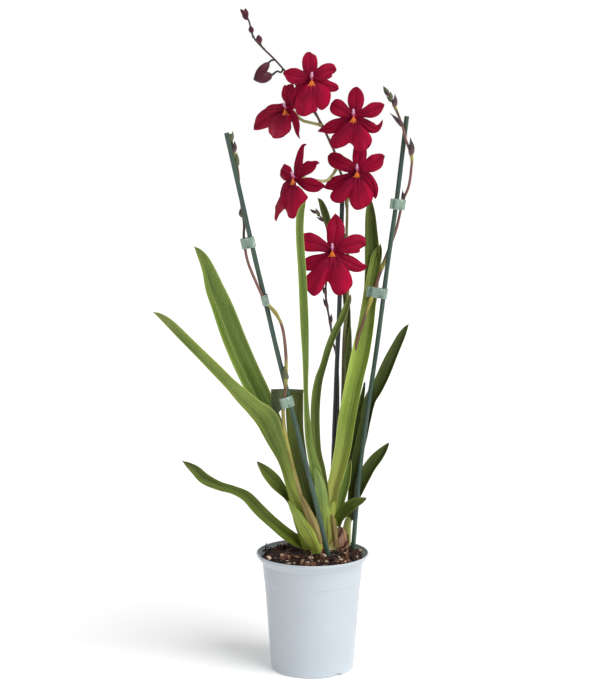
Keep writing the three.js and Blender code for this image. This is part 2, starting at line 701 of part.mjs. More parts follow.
/**
 * A thin solid round a middle surface, given as rows of points. Both faces are split into triangles
 * in the same way, so that a bent sheet never crosses itself.
 */
function sheetSolid(rows, thickness) {
  const along = rows.length - 1;
  const across = rows[0].length - 1;
  const faceSize = (along + 1) * (across + 1);
  const number = (i, j) => i * (across + 1) + j;
  const points = new Array(2 * faceSize);
  for (let i = 0; i <= along; i += 1) {
    for (let j = 0; j <= across; j += 1) {
      const forward = rows[Math.min(i + 1, along)][j].clone().sub(rows[Math.max(i - 1, 0)][j]);
      const sideways = rows[i][Math.min(j + 1, across)].clone().sub(rows[i][Math.max(j - 1, 0)]);
      const offset = forward.cross(sideways).setLength(thickness / 2);
      points[number(i, j)] = rows[i][j].clone().add(offset);
      points[number(i, j) + faceSize] = rows[i][j].clone().sub(offset);
    }
  }
  const corners = [];
  for (let i = 0; i < along; i += 1) {
    for (let j = 0; j < across; j += 1) {
      const a = number(i, j);
      const b = number(i, j + 1);
      const c = number(i + 1, j + 1);
      const d = number(i + 1, j);
      corners.push(a, d, c, a, c, b);
      corners.push(a + faceSize, c + faceSize, d + faceSize, a + faceSize, b + faceSize, c + faceSize);
    }
  }
  const rim = [];
  for (let i = 0; i < along; i += 1) rim.push(number(i, 0));
  for (let j = 0; j < across; j += 1) rim.push(number(along, j));
  for (let i = along; i > 0; i -= 1) rim.push(number(i, across));
  for (let j = across; j > 0; j -= 1) rim.push(number(0, j));
  rim.forEach((p, k) => {
    const q = rim[(k + 1) % rim.length];
    corners.push(q, p, p + faceSize, q, p + faceSize, q + faceSize);
  });
  return solidOf(indexedGeometry(points, corners));
}

/** A closed solid lofted through rings of points, with flat ends. */
function loftSolid(rings) {
  const sides = rings[0].length;
  const points = rings.flat();
  const corners = [];
  for (let i = 0; i < rings.length - 1; i += 1) {
    for (let k = 0; k < sides; k += 1) {
      const a = i * sides + k;
      const b = i * sides + ((k + 1) % sides);
      corners.push(a, b, b + sides, a, b + sides, a + sides);
    }
  }
  const last = (rings.length - 1) * sides;
  for (let k = 1; k < sides - 1; k += 1) {
    corners.push(0, k + 1, k);
    corners.push(last, last + k, last + k + 1);
  }
  return solidOf(indexedGeometry(points, corners));
}

/** A round tube along a curve. radiusAt gives its radius at a share of its length. */
function tubeSolid(curve, radiusAt, steps, sides, grow = 0) {
  const frames = curve.computeFrenetFrames(steps, false);
  const rings = [];
  for (let i = 0; i <= steps; i += 1) {
    const centre = curve.getPointAt(i / steps);
    if (i === 0) centre.addScaledVector(frames.tangents[i], -grow);
    if (i === steps) centre.addScaledVector(frames.tangents[i], grow);
    const radius = radiusAt(i / steps) + grow;
    const ring = [];
    for (let k = 0; k < sides; k += 1) {
      const angle = (2 * Math.PI * k) / sides;
      const point = centre.clone().addScaledVector(frames.normals[i], radius * Math.cos(angle));
      ring.push(point.addScaledVector(frames.binormals[i], radius * Math.sin(angle)));
    }
    rings.push(ring);
  }
  return loftSolid(rings);
}

/** One solid from several that overlap. */
function fuse(solids) {
  return wasm.Manifold.union(solids);
}

/** The largest body of a solid. */
function largestBody(solid) {
  const bodies = solid.decompose();
  return bodies.reduce((best, body) => (body.volume() > best.volume() ? body : best));
}

/** Numbers from 0 to 1 that are the same on every run. */
function randomFrom(seed) {
  let state = seed;
  return () => {
    state = (Math.imul(state, 1664525) + 1013904223) >>> 0;
    return state / 4294967296;
  };
}

// The pieces

/** Outline of the inside of the pot, from the floor's middle up past the rim, moved in by a gap. */
function potInside(gap, top) {
  const wall = POT.wall + gap;
  return [
    [0, POT.floor + gap],
    [POT.baseRadius - wall - 1.5, POT.floor + gap],
    [POT.baseRadius - wall + 0.6, POT.floor + 4],
    [POT.shoulderRadius - wall - POT.stepDepth, POT.stepHeight],
    [POT.neckRadius - wall, POT.neckHeight - 0.5],
    [POT.rimRadius - wall, POT.height - 3],
    [POT.rimRadius - wall, top],
  ];
}

/** A solid turned round the Z axis from a list of [radius, height]. */
function turnedSolid(outline, segments) {
  const profile = outline.map(([radius, height]) => new THREE.Vector2(radius, height));
  return solidOf(new THREE.LatheGeometry(profile, segments).rotateX(Math.PI / 2));
}

/** The pot: a thin tapered wall with a step, a flared rim, a foot ring and a flat middle boss. */
function potSolid() {
  const outside = [
    [0, 0],
    [POT.bossRadius, 0],
    [POT.bossRadius + 0.6, POT.footHeight],
    [POT.footInner - 0.4, POT.footHeight],
    [POT.footInner, 0],
    [POT.footOuter, 0],
    [POT.footOuter + 1.2, 0.8],
    [POT.baseRadius, 4],
    [POT.shoulderRadius - POT.stepDepth, POT.stepHeight],
    [POT.shoulderRadius, POT.stepHeight + 1],
    [POT.neckRadius, POT.neckHeight],
    [POT.rimRadius, POT.height - 2.5],
    [POT.rimRadius, POT.height],
  ];
  const inside = potInside(0, POT.height).reverse();
  const drains = Array.from({ length: POT.drainHoles }, (_, k) => {
    const angle = (2 * Math.PI * (k + 0.5)) / POT.drainHoles;
    const hole = new THREE.CylinderGeometry(POT.drainRadius, POT.drainRadius, 3 * POT.floor, 8);
    hole.rotateX(Math.PI / 2);
    hole.translate(POT.drainCircle * Math.cos(angle), POT.drainCircle * Math.sin(angle), POT.floor);
    return solidOf(hole);
  });
  const notches = Array.from({ length: POT.notches }, (_, k) => {
    const azimuth = radians(POT.notchAzimuth) + (2 * Math.PI * k) / POT.notches;
    const arch = new THREE.CylinderGeometry(POT.notchRadius, POT.notchRadius, 12, 16);
    arch.rotateZ(Math.PI / 2);
    arch.translate(POT.footOuter, 0, POT.notchHeight - POT.notchRadius);
    arch.rotateZ(azimuth);
    return solidOf(arch);
  });
  return turnedSolid([...outside, ...inside], POT.segments).subtract(fuse([...drains, ...notches]));
}

/** The bark mix: a plug that fills the pot, with chips lying on its surface. */
function mediumSolid(grow) {
  const random = randomFrom(SEED);
  const between = ([low, high]) => mix(low, high, random());
  const ceiling = POT.height + 8;
  const room = turnedSolid([...potInside(CLEARANCE, ceiling), [0, ceiling]], POT.segments / 2);
  const reach = POT.rimRadius + 20;
  const plug = new THREE.CylinderGeometry(reach, reach, MEDIUM.surface + grow, 12);
  plug.rotateX(Math.PI / 2);
  plug.translate(0, 0, (MEDIUM.surface + grow) / 2);
  const chips = Array.from({ length: MEDIUM.chips }, (_, k) => {
    const reach = MEDIUM.chipReach * Math.sqrt((k + 0.5) / MEDIUM.chips);
    const azimuth = k * 2.4 + 0.5 * random();
    const size = [MEDIUM.chipLength, MEDIUM.chipWidth, MEDIUM.chipHeight].map(between);
    const chip = new THREE.BoxGeometry(...size.map((side) => side + 2 * grow));
    const taper = 0.7 + 0.3 * random();
    const places = chip.getAttribute("position");
    for (let i = 0; i < places.count; i += 1) {
      if (places.getX(i) > 0) places.setY(i, places.getY(i) * taper);
      if (places.getZ(i) > 0) places.setX(i, places.getX(i) * taper);
    }
    const lean = () => MEDIUM.chipTilt * (2 * random() - 1);
    chip.rotateX(lean());
    chip.rotateY(lean());
    chip.rotateZ(2 * Math.PI * random());
    chip.translate(reach * Math.cos(azimuth), reach * Math.sin(azimuth), between(MEDIUM.chipCentre));
    return solidOf(chip);
  });
  return fuse([solidOf(plug), ...chips]).intersect(room);
}

/** A straight or slightly bowed stick. */
function stickSolid({ points }, grow) {
  return tubeSolid(curveThrough(points), () => STICK_RADIUS, 6, 8, grow);
}

/** A shoot's sheathed base or a pseudobulb, lofted through level ovals. */
function shootSolid({ rings }, grow) {
  const sides = 10;
  const steps = 8;
  const curve = curveThrough(rings);
  const loft = [];
  for (let i = 0; i <= steps; i += 1) {
    const s = i / steps;
    const centre = curve.getPoint(s);
    if (i === 0) centre.z -= grow;
    if (i === steps) centre.z += grow;
    const halfX = valueAlong(rings.map((ring) => ring[3]), s) / 2 + grow;
    const halfY = valueAlong(rings.map((ring) => ring[4]), s) / 2 + grow;
    const ring = [];
    for (let k = 0; k < sides; k += 1) {
      const angle = (2 * Math.PI * k) / sides;
      ring.push(centre.clone().add(vector([halfX * Math.cos(angle), halfY * Math.sin(angle), 0])));
    }
    loft.push(ring);
  }
  return loftSolid(loft);
}

/** The share of a curve's length at which it comes closest to a height. */
function shareAtHeight(curve, height) {
  const samples = curve.getSpacedPoints(400);
  const off = samples.map((point) => Math.abs(point.z - height));
  return off.indexOf(Math.min(...off)) / 400;
}

/** The point of a curve at a height. */
function pointAtHeight(curve, height) {
  return curve.getPointAt(shareAtHeight(curve, height));
}

/** A bract: a small pointed scale that clasps the stem and leans out to one side. */
function bractSolid(curve, at, stemRadius, { side, length, lean }, grow) {
  const foot = curve.getPointAt(at);
  const up = curve.getTangentAt(at);
  const out = vector(side).projectOnPlane(up).normalize();
  const middle = foot.clone().addScaledVector(up, 0.5 * length).addScaledVector(out, 0.35 * lean * length);
  const tip = foot.clone().addScaledVector(up, length).addScaledVector(out, lean * length);
  const start = foot.clone().addScaledVector(up, -1);
  const path = new THREE.CatmullRomCurve3([start, middle, tip], false, "catmullrom", 0.5);
  return tubeSolid(path, (s) => mix(stemRadius + 0.9, 0.5, s * s), 3, 5, grow);
}

/** A flower stem with its bracts and the stalks of its blooms and buds. */
function spikeSolid({ points, radius, steps, bracts, branches }, grow) {
  const curve = curveThrough(points);
  const radiusAt = (s) => mix(radius[0], radius[1], s);
  const scales = bracts.map((bract) => {
    const at = shareAtHeight(curve, bract.height);
    return bractSolid(curve, at, radiusAt(at), bract, grow);
  });
  const stalks = branches.map((branch) => {
    const start = pointAtHeight(curve, branch.height).toArray();
    const end = branch.bloom ? backOf(BLOOMS[branch.bloom - 1]) : BUDS[branch.bud - 1].shapes[0].foot;
    const path = curveThrough([start, ...branch.via, end]);
    return tubeSolid(path, () => STALK_RADIUS, branch.via.length + 2, 5, grow);
  });
  return fuse([tubeSolid(curve, radiusAt, steps, 5, grow), ...scales, ...stalks]);
}

/** A ribbon tie: a flat loop round a stick and a stem, with a short tail at one end. */
function tieSolid({ stick, spike, height, tailAt, tail }, grow) {
  const stickCurve = curveThrough(STICKS.find(({ name }) => name === stick).points);
  const spikeCurve = curveThrough(SPIKES.find(({ name }) => name === spike).points);
  const onStick = { centre: pointAtHeight(stickCurve, height), radius: STICK_RADIUS + TIE.stickSlack };
  const onStem = { centre: pointAtHeight(spikeCurve, height), radius: TIE.stemRadius };
  const [near, far] = tailAt === "stem" ? [onStem, onStick] : [onStick, onStem];
  const axis = stickCurve.getTangentAt(shareAtHeight(stickCurve, height)).negate();
  const apart = near.centre.clone().sub(far.centre).projectOnPlane(axis);
  const half = apart.length() / 2;
  const touch = Math.acos((far.radius - near.radius) / (2 * half));
  const outer = TIE.thickness + grow;
  const ribbon = new THREE.Shape();
  if (tail > 0) {
    const tailHalf = TIE.tailThickness / 2 + grow;
    const lift = Math.asin(tailHalf / (near.radius + outer));
    const reach = half + near.radius + outer + tail;
    ribbon.absarc(half, 0, near.radius + outer, lift, touch);
    ribbon.absarc(-half, 0, far.radius + outer, touch, 2 * Math.PI - touch);
    ribbon.absarc(half, 0, near.radius + outer, -touch, -lift);
    ribbon.lineTo(reach, -tailHalf);
    ribbon.lineTo(reach, tailHalf);
  } else {
    ribbon.absarc(half, 0, near.radius + outer, -touch, touch);
    ribbon.absarc(-half, 0, far.radius + outer, touch, 2 * Math.PI - touch);
  }
  const hole = new THREE.Path();
  hole.absarc(half, 0, near.radius - grow, -touch, touch);
  hole.absarc(-half, 0, far.radius - grow, touch, 2 * Math.PI - touch);
  ribbon.holes.push(hole);
  const depth = TIE.height + 2 * grow;
  const band = new THREE.ExtrudeGeometry(ribbon, { depth, bevelEnabled: false, curveSegments: 5 });
  band.translate(0, 0, -depth / 2);
  const outward = apart.normalize();
  const place = new THREE.Matrix4().makeBasis(outward, axis.clone().cross(outward), axis);
  place.setPosition(near.centre.add(far.centre).multiplyScalar(0.5));
  return solidOf(band.applyMatrix4(place));
}

/** A strap leaf, folded along its midrib. */
function leafSolid({ rows, yaw, rise, steps }, grow) {
  const curve = curveThrough(rows);
  const widths = rows.map((row) => row[3]);
  const surface = [];
  for (let i = 0; i <= steps; i += 1) {
    const s = i / steps;
    const tangent = curve.getTangent(s);
    const turn = radians(mix(yaw[0], yaw[1], s));
    const face = vector([Math.sin(turn), -Math.cos(turn), 0.3]);
    const side = tangent.clone().cross(face).normalize();
    const normal = side.clone().cross(tangent);
    const half = valueAlong(widths, s) / 2 + grow;
    const fold = half * mix(rise[0], rise[1], Math.min(1, 3 * s));
    const midrib = curve.getPoint(s).addScaledVector(normal, -fold / 2);
    if (i === 0) midrib.addScaledVector(tangent, -grow);
    if (i === steps) midrib.addScaledVector(tangent, grow);
    const edge = (t) => midrib.clone().addScaledVector(side, t * half).addScaledVector(normal, fold);
    surface.push([edge(-1), midrib, edge(1)]);
  }
  return sheetSolid(surface, LEAF_THICKNESS + 2 * grow);
}

/** The unit vector out of a bloom. */
function facingOf(bloom) {
  return vector(bloom.facing).normalize();
}

/** The point in a bloom's plane that lies at x and z from its centre as seen from the front. */
function inBloom(bloom, x, z) {
  const out = facingOf(bloom);
  const depth = -(out.x * x + out.z * z) / out.y;
  return vector(bloom.centre).add(vector([x, depth, z]));
}

/** Where the stalk ends inside a bloom's core. */
function backOf(bloom) {
  return vector(bloom.centre).addScaledVector(facingOf(bloom), -2.6).toArray();
}

/** One sepal or petal: a blade through its rows, with its edges bent back. */
function tepalSolid(bloom, rows, grow) {
  const out = facingOf(bloom);
  const foot = vector(bloom.centre).addScaledVector(out, -1.2);
  const midrib = rows.map(([x, z, , push]) => inBloom(bloom, x, z).addScaledVector(out, push));
  const curve = new THREE.CatmullRomCurve3([foot, ...midrib], false, "catmullrom", 0.5);
  const widths = [BLOOM.tepalFoot, ...rows.map((row) => row[2])];
  const surface = widths.map((width, i) => {
    const along = curve.getTangent(i / rows.length);
    const side = out.clone().cross(along).normalize();
    const centre = curve.points[i].clone();
    if (i === rows.length) centre.addScaledVector(along, grow);
    const half = width / 2 + grow;
    return [-1, -0.35, 0.35, 1].map((t) =>
      centre.clone().addScaledVector(side, t * half).addScaledVector(out, BLOOM.tepalCurl * half * t * t),
    );
  });
  return sheetSolid(surface, TEPAL_THICKNESS + 2 * grow);
}

/** The lip: a broad blade spread from its claw to a lobed rim, bulging forward. */
function lipSolid(bloom, grow) {
  const steps = 3;
  const out = facingOf(bloom);
  const surface = [];
  for (let i = 0; i <= steps; i += 1) {
    const s = i / steps;
    const bulge = BLOOM.lipForward * Math.sin(Math.PI * Math.pow(s, 0.7));
    const push = BLOOM.lipFoot + bulge + BLOOM.lipFall * s * s;
    surface.push(
      bloom.lip.map(([x, z], j) => {
        const claw = BLOOM.clawHalfWidth * ((2 * j) / (bloom.lip.length - 1) - 1);
        const spread = vector([x, 0, z + BLOOM.clawDrop]);
        spread.setLength(spread.length() + grow).multiplyScalar(s);
        const across = mix(claw, 0, s) + spread.x;
        return inBloom(bloom, across, spread.z - BLOOM.clawDrop).addScaledVector(out, push);
      }),
    );
  }
  return sheetSolid(surface, TEPAL_THICKNESS + 2 * grow);
}

/** A whole bloom: five tepals and the lip on one core. */
function bloomSolid(bloom, grow) {
  const core = new THREE.SphereGeometry(BLOOM.coreRadius + grow, 7, 5);
  core.translate(...vector(bloom.centre).addScaledVector(facingOf(bloom), -0.8).toArray());
  const tepals = bloom.tepals.map((tepal) => tepalSolid(bloom, tepal, grow));
  return fuse([solidOf(core), lipSolid(bloom, grow), ...tepals]);
}

/** The column, rising out of the middle of a bloom, with the callus of the lip below it. */
function columnSolid(bloom, grow) {
  const out = facingOf(bloom);
  const up = vector([0, 0, 1]).projectOnPlane(out).normalize();
  const side = up.clone().cross(out);
  const place = (forward, rise) =>
    vector(bloom.centre).addScaledVector(out, forward).addScaledVector(up, rise);
  const path = new THREE.CatmullRomCurve3([
    place(BLOOM.columnFoot, 0),
    place(0.75 * BLOOM.columnForward, 0.45 * BLOOM.columnRise),
    place(BLOOM.columnForward, BLOOM.columnRise),
  ]);
  const swell = (s) => BLOOM.columnRadius * (0.9 + 0.3 * Math.sin(Math.PI * s));
  const column = tubeSolid(path, swell, 3, 6, grow);
  const callus = new THREE.SphereGeometry(1, 7, 5);
  callus.scale(...BLOOM.callusSize.map((size) => size + grow));
  callus.applyMatrix4(new THREE.Matrix4().makeBasis(side, up, out));
  callus.translate(...place(BLOOM.callusForward, -BLOOM.callusDrop).toArray());
  return fuse([column, solidOf(callus)]);
}

/** A bud: one or more pointed ovals. */
function budSolid({ shapes }, grow) {
  const ovals = shapes.map(({ foot, tip, width }) => {
    const reach = vector(tip).sub(vector(foot));
    const length = reach.length();
    const outline = [[0, 0], [0.3, 0.04], [0.85, 0.25], [1, 0.5], [0.62, 0.82], [0, 1]];
    const profile = outline.map(([r, h], k) => {
      const end = k === 0 ? -grow : k === outline.length - 1 ? grow : 0;
      return new THREE.Vector2(r === 0 ? 0 : (r * width) / 2 + grow, h * length + end);
    });
    const oval = new THREE.LatheGeometry(profile, 7);
    const turn = new THREE.Quaternion().setFromUnitVectors(vector([0, 1, 0]), reach.normalize());
    return solidOf(oval.applyQuaternion(turn).translate(...foot));
  });
  return fuse(ovals);
}

// The assembly

const orchid = new THREE.Group();
orchid.name = "potted_orchid";
const placed = [];

/** Whether the boxes of two solids meet. */
function boxesMeet(first, second) {
  const a = first.boundingBox();
  const b = second.boundingBox();
  return [0, 1, 2].every((axis) => a.min[axis] < b.max[axis] && b.min[axis] < a.max[axis]);
}

/**
 * Adds a piece to the group. build(grow) makes its solid, thickened by grow. The new piece gives
 * way to every piece placed before it, with the clearance between them.
 */
function place(name, colour, roughness, build) {
  const whole = build(0);
  const neighbours = placed.filter((piece) => boxesMeet(piece, whole));
  const free = neighbours.length ? whole.subtract(fuse(neighbours)) : whole;
  const body = largestBody(free.simplify(DETAIL));
  placed.push(build(CLEARANCE));
  const material = new THREE.MeshStandardMaterial({ color: colour, roughness, metalness: 0 });
  const mesh = new THREE.Mesh(geometryOf(body), material);
  mesh.name = name;
  orchid.add(mesh);
}

place("pot", "#d3dbe2", 0.35, () => potSolid());
STICKS.forEach((stick) => place(stick.name, "#3c4f3d", 0.5, (grow) => stickSolid(stick, grow)));
SHOOTS.forEach((shoot) => place(shoot.name, shoot.colour, 0.6, (grow) => shootSolid(shoot, grow)));
place("growing_medium", "#3a281c", 0.95, (grow) => mediumSolid(grow));
SPIKES.forEach((spike) => place(spike.name, spike.colour, 0.55, (grow) => spikeSolid(spike, grow)));
TIES.forEach((tie) => place(tie.name, "#9dbb9f", 0.4, (grow) => tieSolid(tie, grow)));
LEAVES.forEach((leaf) => place(leaf.name, leaf.colour, 0.45, (grow) => leafSolid(leaf, grow)));
BUDS.forEach((bud) => place(bud.name, "#6b2f45", 0.5, (grow) => budSolid(bud, grow)));
BLOOMS.forEach((bloom, k) => {
  place("column_" + (k + 1), "#d98a9c", 0.45, (grow) => columnSolid(bloom, grow));
  place("bloom_" + (k + 1), "#9a0f33", 0.55, (grow) => bloomSolid(bloom, grow));
});

export default orchid;
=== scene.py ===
"""The look of a potted orchid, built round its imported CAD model.

The plant is a white pot of bark with two leafy shoots, sixteen strap leaves, four flower stems
tied to three sticks with ribbon, six red blooms and five buds. All lengths in the lists and
classes are millimetres, with Z up and the blooms facing -Y. Meshes are written in metres.
"""

import logging
from collections.abc import Sequence
from dataclasses import dataclass
from enum import Enum
from typing import ClassVar

import bpy
import numpy as np
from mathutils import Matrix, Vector


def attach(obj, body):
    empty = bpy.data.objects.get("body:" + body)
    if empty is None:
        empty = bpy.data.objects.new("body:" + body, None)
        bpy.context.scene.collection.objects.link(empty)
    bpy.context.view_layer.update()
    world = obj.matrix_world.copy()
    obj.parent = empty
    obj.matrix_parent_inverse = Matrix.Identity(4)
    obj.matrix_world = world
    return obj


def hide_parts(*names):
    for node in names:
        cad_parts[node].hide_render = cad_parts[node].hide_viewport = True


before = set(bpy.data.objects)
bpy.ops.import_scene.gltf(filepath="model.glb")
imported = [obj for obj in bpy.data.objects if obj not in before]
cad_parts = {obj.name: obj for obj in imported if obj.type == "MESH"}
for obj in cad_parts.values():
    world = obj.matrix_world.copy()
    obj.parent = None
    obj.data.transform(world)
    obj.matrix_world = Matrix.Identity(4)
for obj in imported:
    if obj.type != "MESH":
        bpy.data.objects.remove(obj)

Array = np.ndarray
Rows = Sequence[Sequence[float]]
Colour = str
METRES = 0.001
BODY = "root"
log = logging.getLogger("orchid")


# Curves and surfaces


def unit(vectors: Array) -> Array:
    """Scale vectors to length one.

    Args:
        vectors: Vectors along the last axis.

    Returns:
        The same vectors, each divided by its length.
    """
    return vectors / np.maximum(np.linalg.norm(vectors, axis=-1, keepdims=True), 1e-9)


def smooth(values: Array, low: float, high: float) -> Array:
    """Rise from 0 at low to 1 at high, as 3t squared less 2t cubed.

    Args:
        values: The values to map.
        low: Where the rise starts.
        high: Where the rise ends.

    Returns:
        Numbers from 0 to 1.
    """
    t = np.clip((values - low) / (high - low), 0, 1)
    return t * t * (3 - 2 * t)


def blend(first: Array | float, second: Array | float, share: Array | float) -> Array:
    """Go from one value to another by a share, as first + (second - first) * share."""
    return first + (np.asarray(second) - first) * share


def through(rows: Rows, shares: Array) -> Array:
    """Read a smooth curve through rows of numbers.

    Between two rows the value is the Catmull-Rom cubic of the four rows about it. Every row takes
    an equal share of the way, and the first and last rows are mirrored outwards.

    Args:
        rows: The rows that the curve passes through.
        shares: How far along the curve to read it, from 0 to 1.

    Returns:
        One row for each share.
    """
    known = np.asarray(rows, float)
    padded = np.vstack([2 * known[0] - known[1], known, 2 * known[-1] - known[-2]])
    place = np.clip(shares, 0, 1) * (len(known) - 1)
    first = np.minimum(place.astype(int), len(known) - 2)
    t = (place - first)[:, None]
    a, b, c, d = (padded[first + k] for k in range(4))
    cubic = (3 * b - a - 3 * c + d) * t**3
    return 0.5 * (2 * b + (c - a) * t + (2 * a - 5 * b + 4 * c - d) * t**2 + cubic)


def evenly(rows: Rows, count: int) -> Array:
    """Points at equal distances along the smooth curve through rows.

    Args:
        rows: The rows that the curve passes through.
        count: How many points to give.

    Returns:
        An array of that many points.
    """
    fine = through(rows, np.linspace(0, 1, 40 * len(rows)))
    steps = np.linalg.norm(np.diff(fine[:, :3], axis=0), axis=1)
    length = np.concatenate([[0], np.cumsum(steps)])
    wanted = np.linspace(0, length[-1], count)
    return np.stack([np.interp(wanted, length, column) for column in fine.T], axis=1)


def tangents(points: Array) -> Array:
    """The unit direction along a row of points, from central differences."""
    return unit(np.gradient(points, axis=0))


def facing_normals(grid: Array) -> Array:
    """The unit normal at each point of a grid, as the cross product of its two directions."""
    return unit(np.cross(np.gradient(grid, axis=1), np.gradient(grid, axis=0)))


def at_height(points: Array, height: float) -> int:
    """The number of the point of a rising line that lies nearest to a height."""
    return int(np.argmin(np.abs(points[:, 2] - height)))


def around(sides: int) -> Array:
    """Equal angles once round a circle."""
    return np.linspace(0, 2 * np.pi, sides, endpoint=False)


def beside(*columns: Array) -> Array:
    """Put numbers such as x, y and z side by side, along a new last axis."""
    return np.stack(columns, axis=-1)


class Pile:
    """Closed pieces of surface that together make one mesh.

    Each point carries three numbers that the finishes read: along, from foot to tip; across,
    from -1 to 1 over the width; and tone, which tells one kind of surface from another.
    """

    def __init__(self) -> None:
        """Start with nothing on the pile."""
        self.points: list[Array] = []
        self.faces: list[list[int]] = []
        self.marks: list[Array] = []
        self.count = 0

    def add(self, points: Array, faces: list[list[int]], marks: Array) -> None:
        """Put one closed piece on the pile.

        Args:
            points: Its points, in millimetres.
            faces: Its faces, as lists of point numbers.
            marks: The three numbers along, across and tone of each point.
        """
        self.points.append(points)
        self.faces.extend([[corner + self.count for corner in face] for face in faces])
        self.marks.append(marks)
        self.count += len(points)

    def rings(self, grid: Array, along: Array, across: Array, tone: Array | float) -> None:
        """Join rings of points into a closed tube with a flat face at either end.

        Args:
            grid: Rings of points, as ring, place in the ring, coordinate.
            along: One number for each ring, or for each point.
            across: One number for each place in the ring, or for each point.
            tone: One number for all, for each ring, or for each point.
        """
        count, sides = grid.shape[:2]
        number = np.arange(count * sides).reshape(count, sides)
        after = np.roll(number, -1, axis=1)
        quads = np.stack([number[:-1], after[:-1], after[1:], number[1:]], axis=-1)
        faces = quads.reshape(-1, 4).tolist()
        faces += [number[0, ::-1].tolist(), number[-1].tolist()]
        spread = [along, across, tone]
        for place, values in enumerate(spread):
            values = np.asarray(values, float)
            if place != 1 and values.ndim == 1:
                values = values[:, None]
            spread[place] = np.broadcast_to(values, (count, sides)).ravel()
        self.add(grid.reshape(-1, 3), faces, np.stack(spread, axis=1))

    def blade(
        self, middle: Array, thickness: Array, along: Array, across: Array, tone: Array | float
    ) -> None:
        """Close a thin blade round its middle surface.

        The upper face is the middle surface moved along its normal by half the thickness, and the
        lower face is moved the other way. The tone of the lower face is one more than the upper's.

        Args:
            middle: A grid of points, as step along, step across, coordinate.
            thickness: The whole thickness at each point.
            along: One number for each step along, or for each point.
            across: One number for each step across, or for each point.
            tone: One number for all, or for each point.
        """
        count, width = middle.shape[:2]
        lift = facing_normals(middle) * (np.broadcast_to(thickness, (count, width))[..., None] / 2)
        grid = np.concatenate([middle + lift, (middle - lift)[:, ::-1]], axis=1)
        along = np.asarray(along, float)
        along = np.broadcast_to(along if along.ndim == 2 else along[:, None], (count, width))
        across = np.broadcast_to(np.asarray(across, float), (count, width))
        tone = np.broadcast_to(np.asarray(tone, float), (count, width))
        self.rings(
            grid,
            np.concatenate([along, along[:, ::-1]], axis=1),
            np.concatenate([across, across[:, ::-1]], axis=1),
            np.concatenate([tone, tone[:, ::-1] + 1], axis=1),
        )

    def tube(self, centre: Array, radius: Array, sides: int, tone: Array | float = 0) -> None:
        """Carry a circle along a line of points.

        Each ring is centre + radius * (side cos a + up sin a), where side and up are square to the
        line. The two are found from the axis that the line leans to least.

        Args:
            centre: The points of the line.
            radius: The radius at each point.
            sides: How many corners each ring has.
            tone: The tone at each ring.
        """
        along = tangents(centre)
        chord = np.abs(centre[-1] - centre[0])
        axis = np.eye(3)[int(np.argmin(chord))]
        side = unit(np.cross(along, axis))
        up = np.cross(side, along)
        angle = around(sides)
        reach = np.asarray(radius)[:, None, None]
        ring = side[:, None] * np.cos(angle)[:, None] + up[:, None] * np.sin(angle)[:, None]
        grid = centre[:, None] + reach * ring
        self.rings(grid[:, ::-1], np.linspace(0, 1, len(centre)), np.cos(angle)[::-1], tone)

    def ball(self, centre: Array, axes: Array, steps: tuple[int, int], tone: float) -> None:
        """An oval solid, with points centre + axes times a point of the unit sphere.

        Args:
            centre: The middle of the oval.
            axes: Its three half axes, one to a row, of which the last joins its poles.
            steps: How many rings it has from pole to pole, and how many corners each has.
            tone: Its tone.
        """
        polar = np.linspace(0.06, np.pi - 0.06, steps[0])
        angle = around(steps[1])
        flat = np.sin(polar)[:, None]
        level = np.broadcast_to(-np.cos(polar)[:, None], steps)
        grid = centre + beside(flat * np.cos(angle), flat * np.sin(angle), level) @ axes
        across = np.cos(angle)
        if np.linalg.det(axes) <= 0:
            grid, across = grid[:, ::-1], across[::-1]
        self.rings(grid, polar / np.pi, across, tone)

    def piece(self, name: str, sharp: float = 50) -> bpy.types.Object:
        """Write the pile into a mesh object in metres.

        Args:
            name: The name of the object.
            sharp: Edges that turn by more than this many degrees stay crisp.

        Returns:
            The new object, at the origin.
        """
        points = np.concatenate(self.points) * METRES
        marks = np.concatenate(self.marks)
        mesh = bpy.data.meshes.new(name)
        mesh.from_pydata(points.tolist(), [], self.faces)
        for place, label in enumerate(("along", "across", "tone")):
            layer = mesh.attributes.new(label, "FLOAT", "POINT")
            layer.data.foreach_set("value", np.ascontiguousarray(marks[:, place], dtype=np.float32))
        corners = np.zeros(len(mesh.loops), dtype=np.int32)
        mesh.loops.foreach_get("vertex_index", corners)
        unwrapped = mesh.uv_layers.new(name="UVMap")
        unwrapped.data.foreach_set("uv", marks[corners][:, [1, 0]].astype(np.float32).ravel())
        mesh.update()
        mesh.shade_smooth()
        mesh.set_sharp_from_angle(angle=np.radians(sharp))
        piece = bpy.data.objects.new(name, mesh)
        bpy.context.scene.collection.objects.link(piece)
        return piece


def settle(piece: bpy.types.Object, slot: str, finish: "Finish", *nodes: str) -> None:
    """Give a piece its finish and its place on the frame.

    Args:
        piece: The new piece.
        slot: The piece's material slot in the record. Not used.
        finish: What its surface looks like.
        nodes: The CAD nodes that it stands for.
    """
    piece.data.materials.append(finish.material())
    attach(piece, BODY)
    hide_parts(*nodes)
    log.info("%s: %d faces in place of %s", piece.name, len(piece.data.polygons), ", ".join(nodes))


# Finishes


def linear(colour: Colour) -> tuple[float, float, float, float]:
    """Turn a colour such as #8a2040 into the linear numbers that a shader takes.

    Args:
        colour: Red, green and blue as two hexadecimal digits each.

    Returns:
        Red, green, blue and 1.
    """
    parts = np.array([int(colour[k : k + 2], 16) for k in (1, 3, 5)]) / 255
    red, green, blue = np.where(parts <= 0.04045, parts / 12.92, ((parts + 0.055) / 1.055) ** 2.4)
    return float(red), float(green), float(blue), 1.0


Socket = bpy.types.NodeSocket
Value = Socket | Colour | float | tuple[float, ...]
Look = tuple[Value, Value, Value, float]


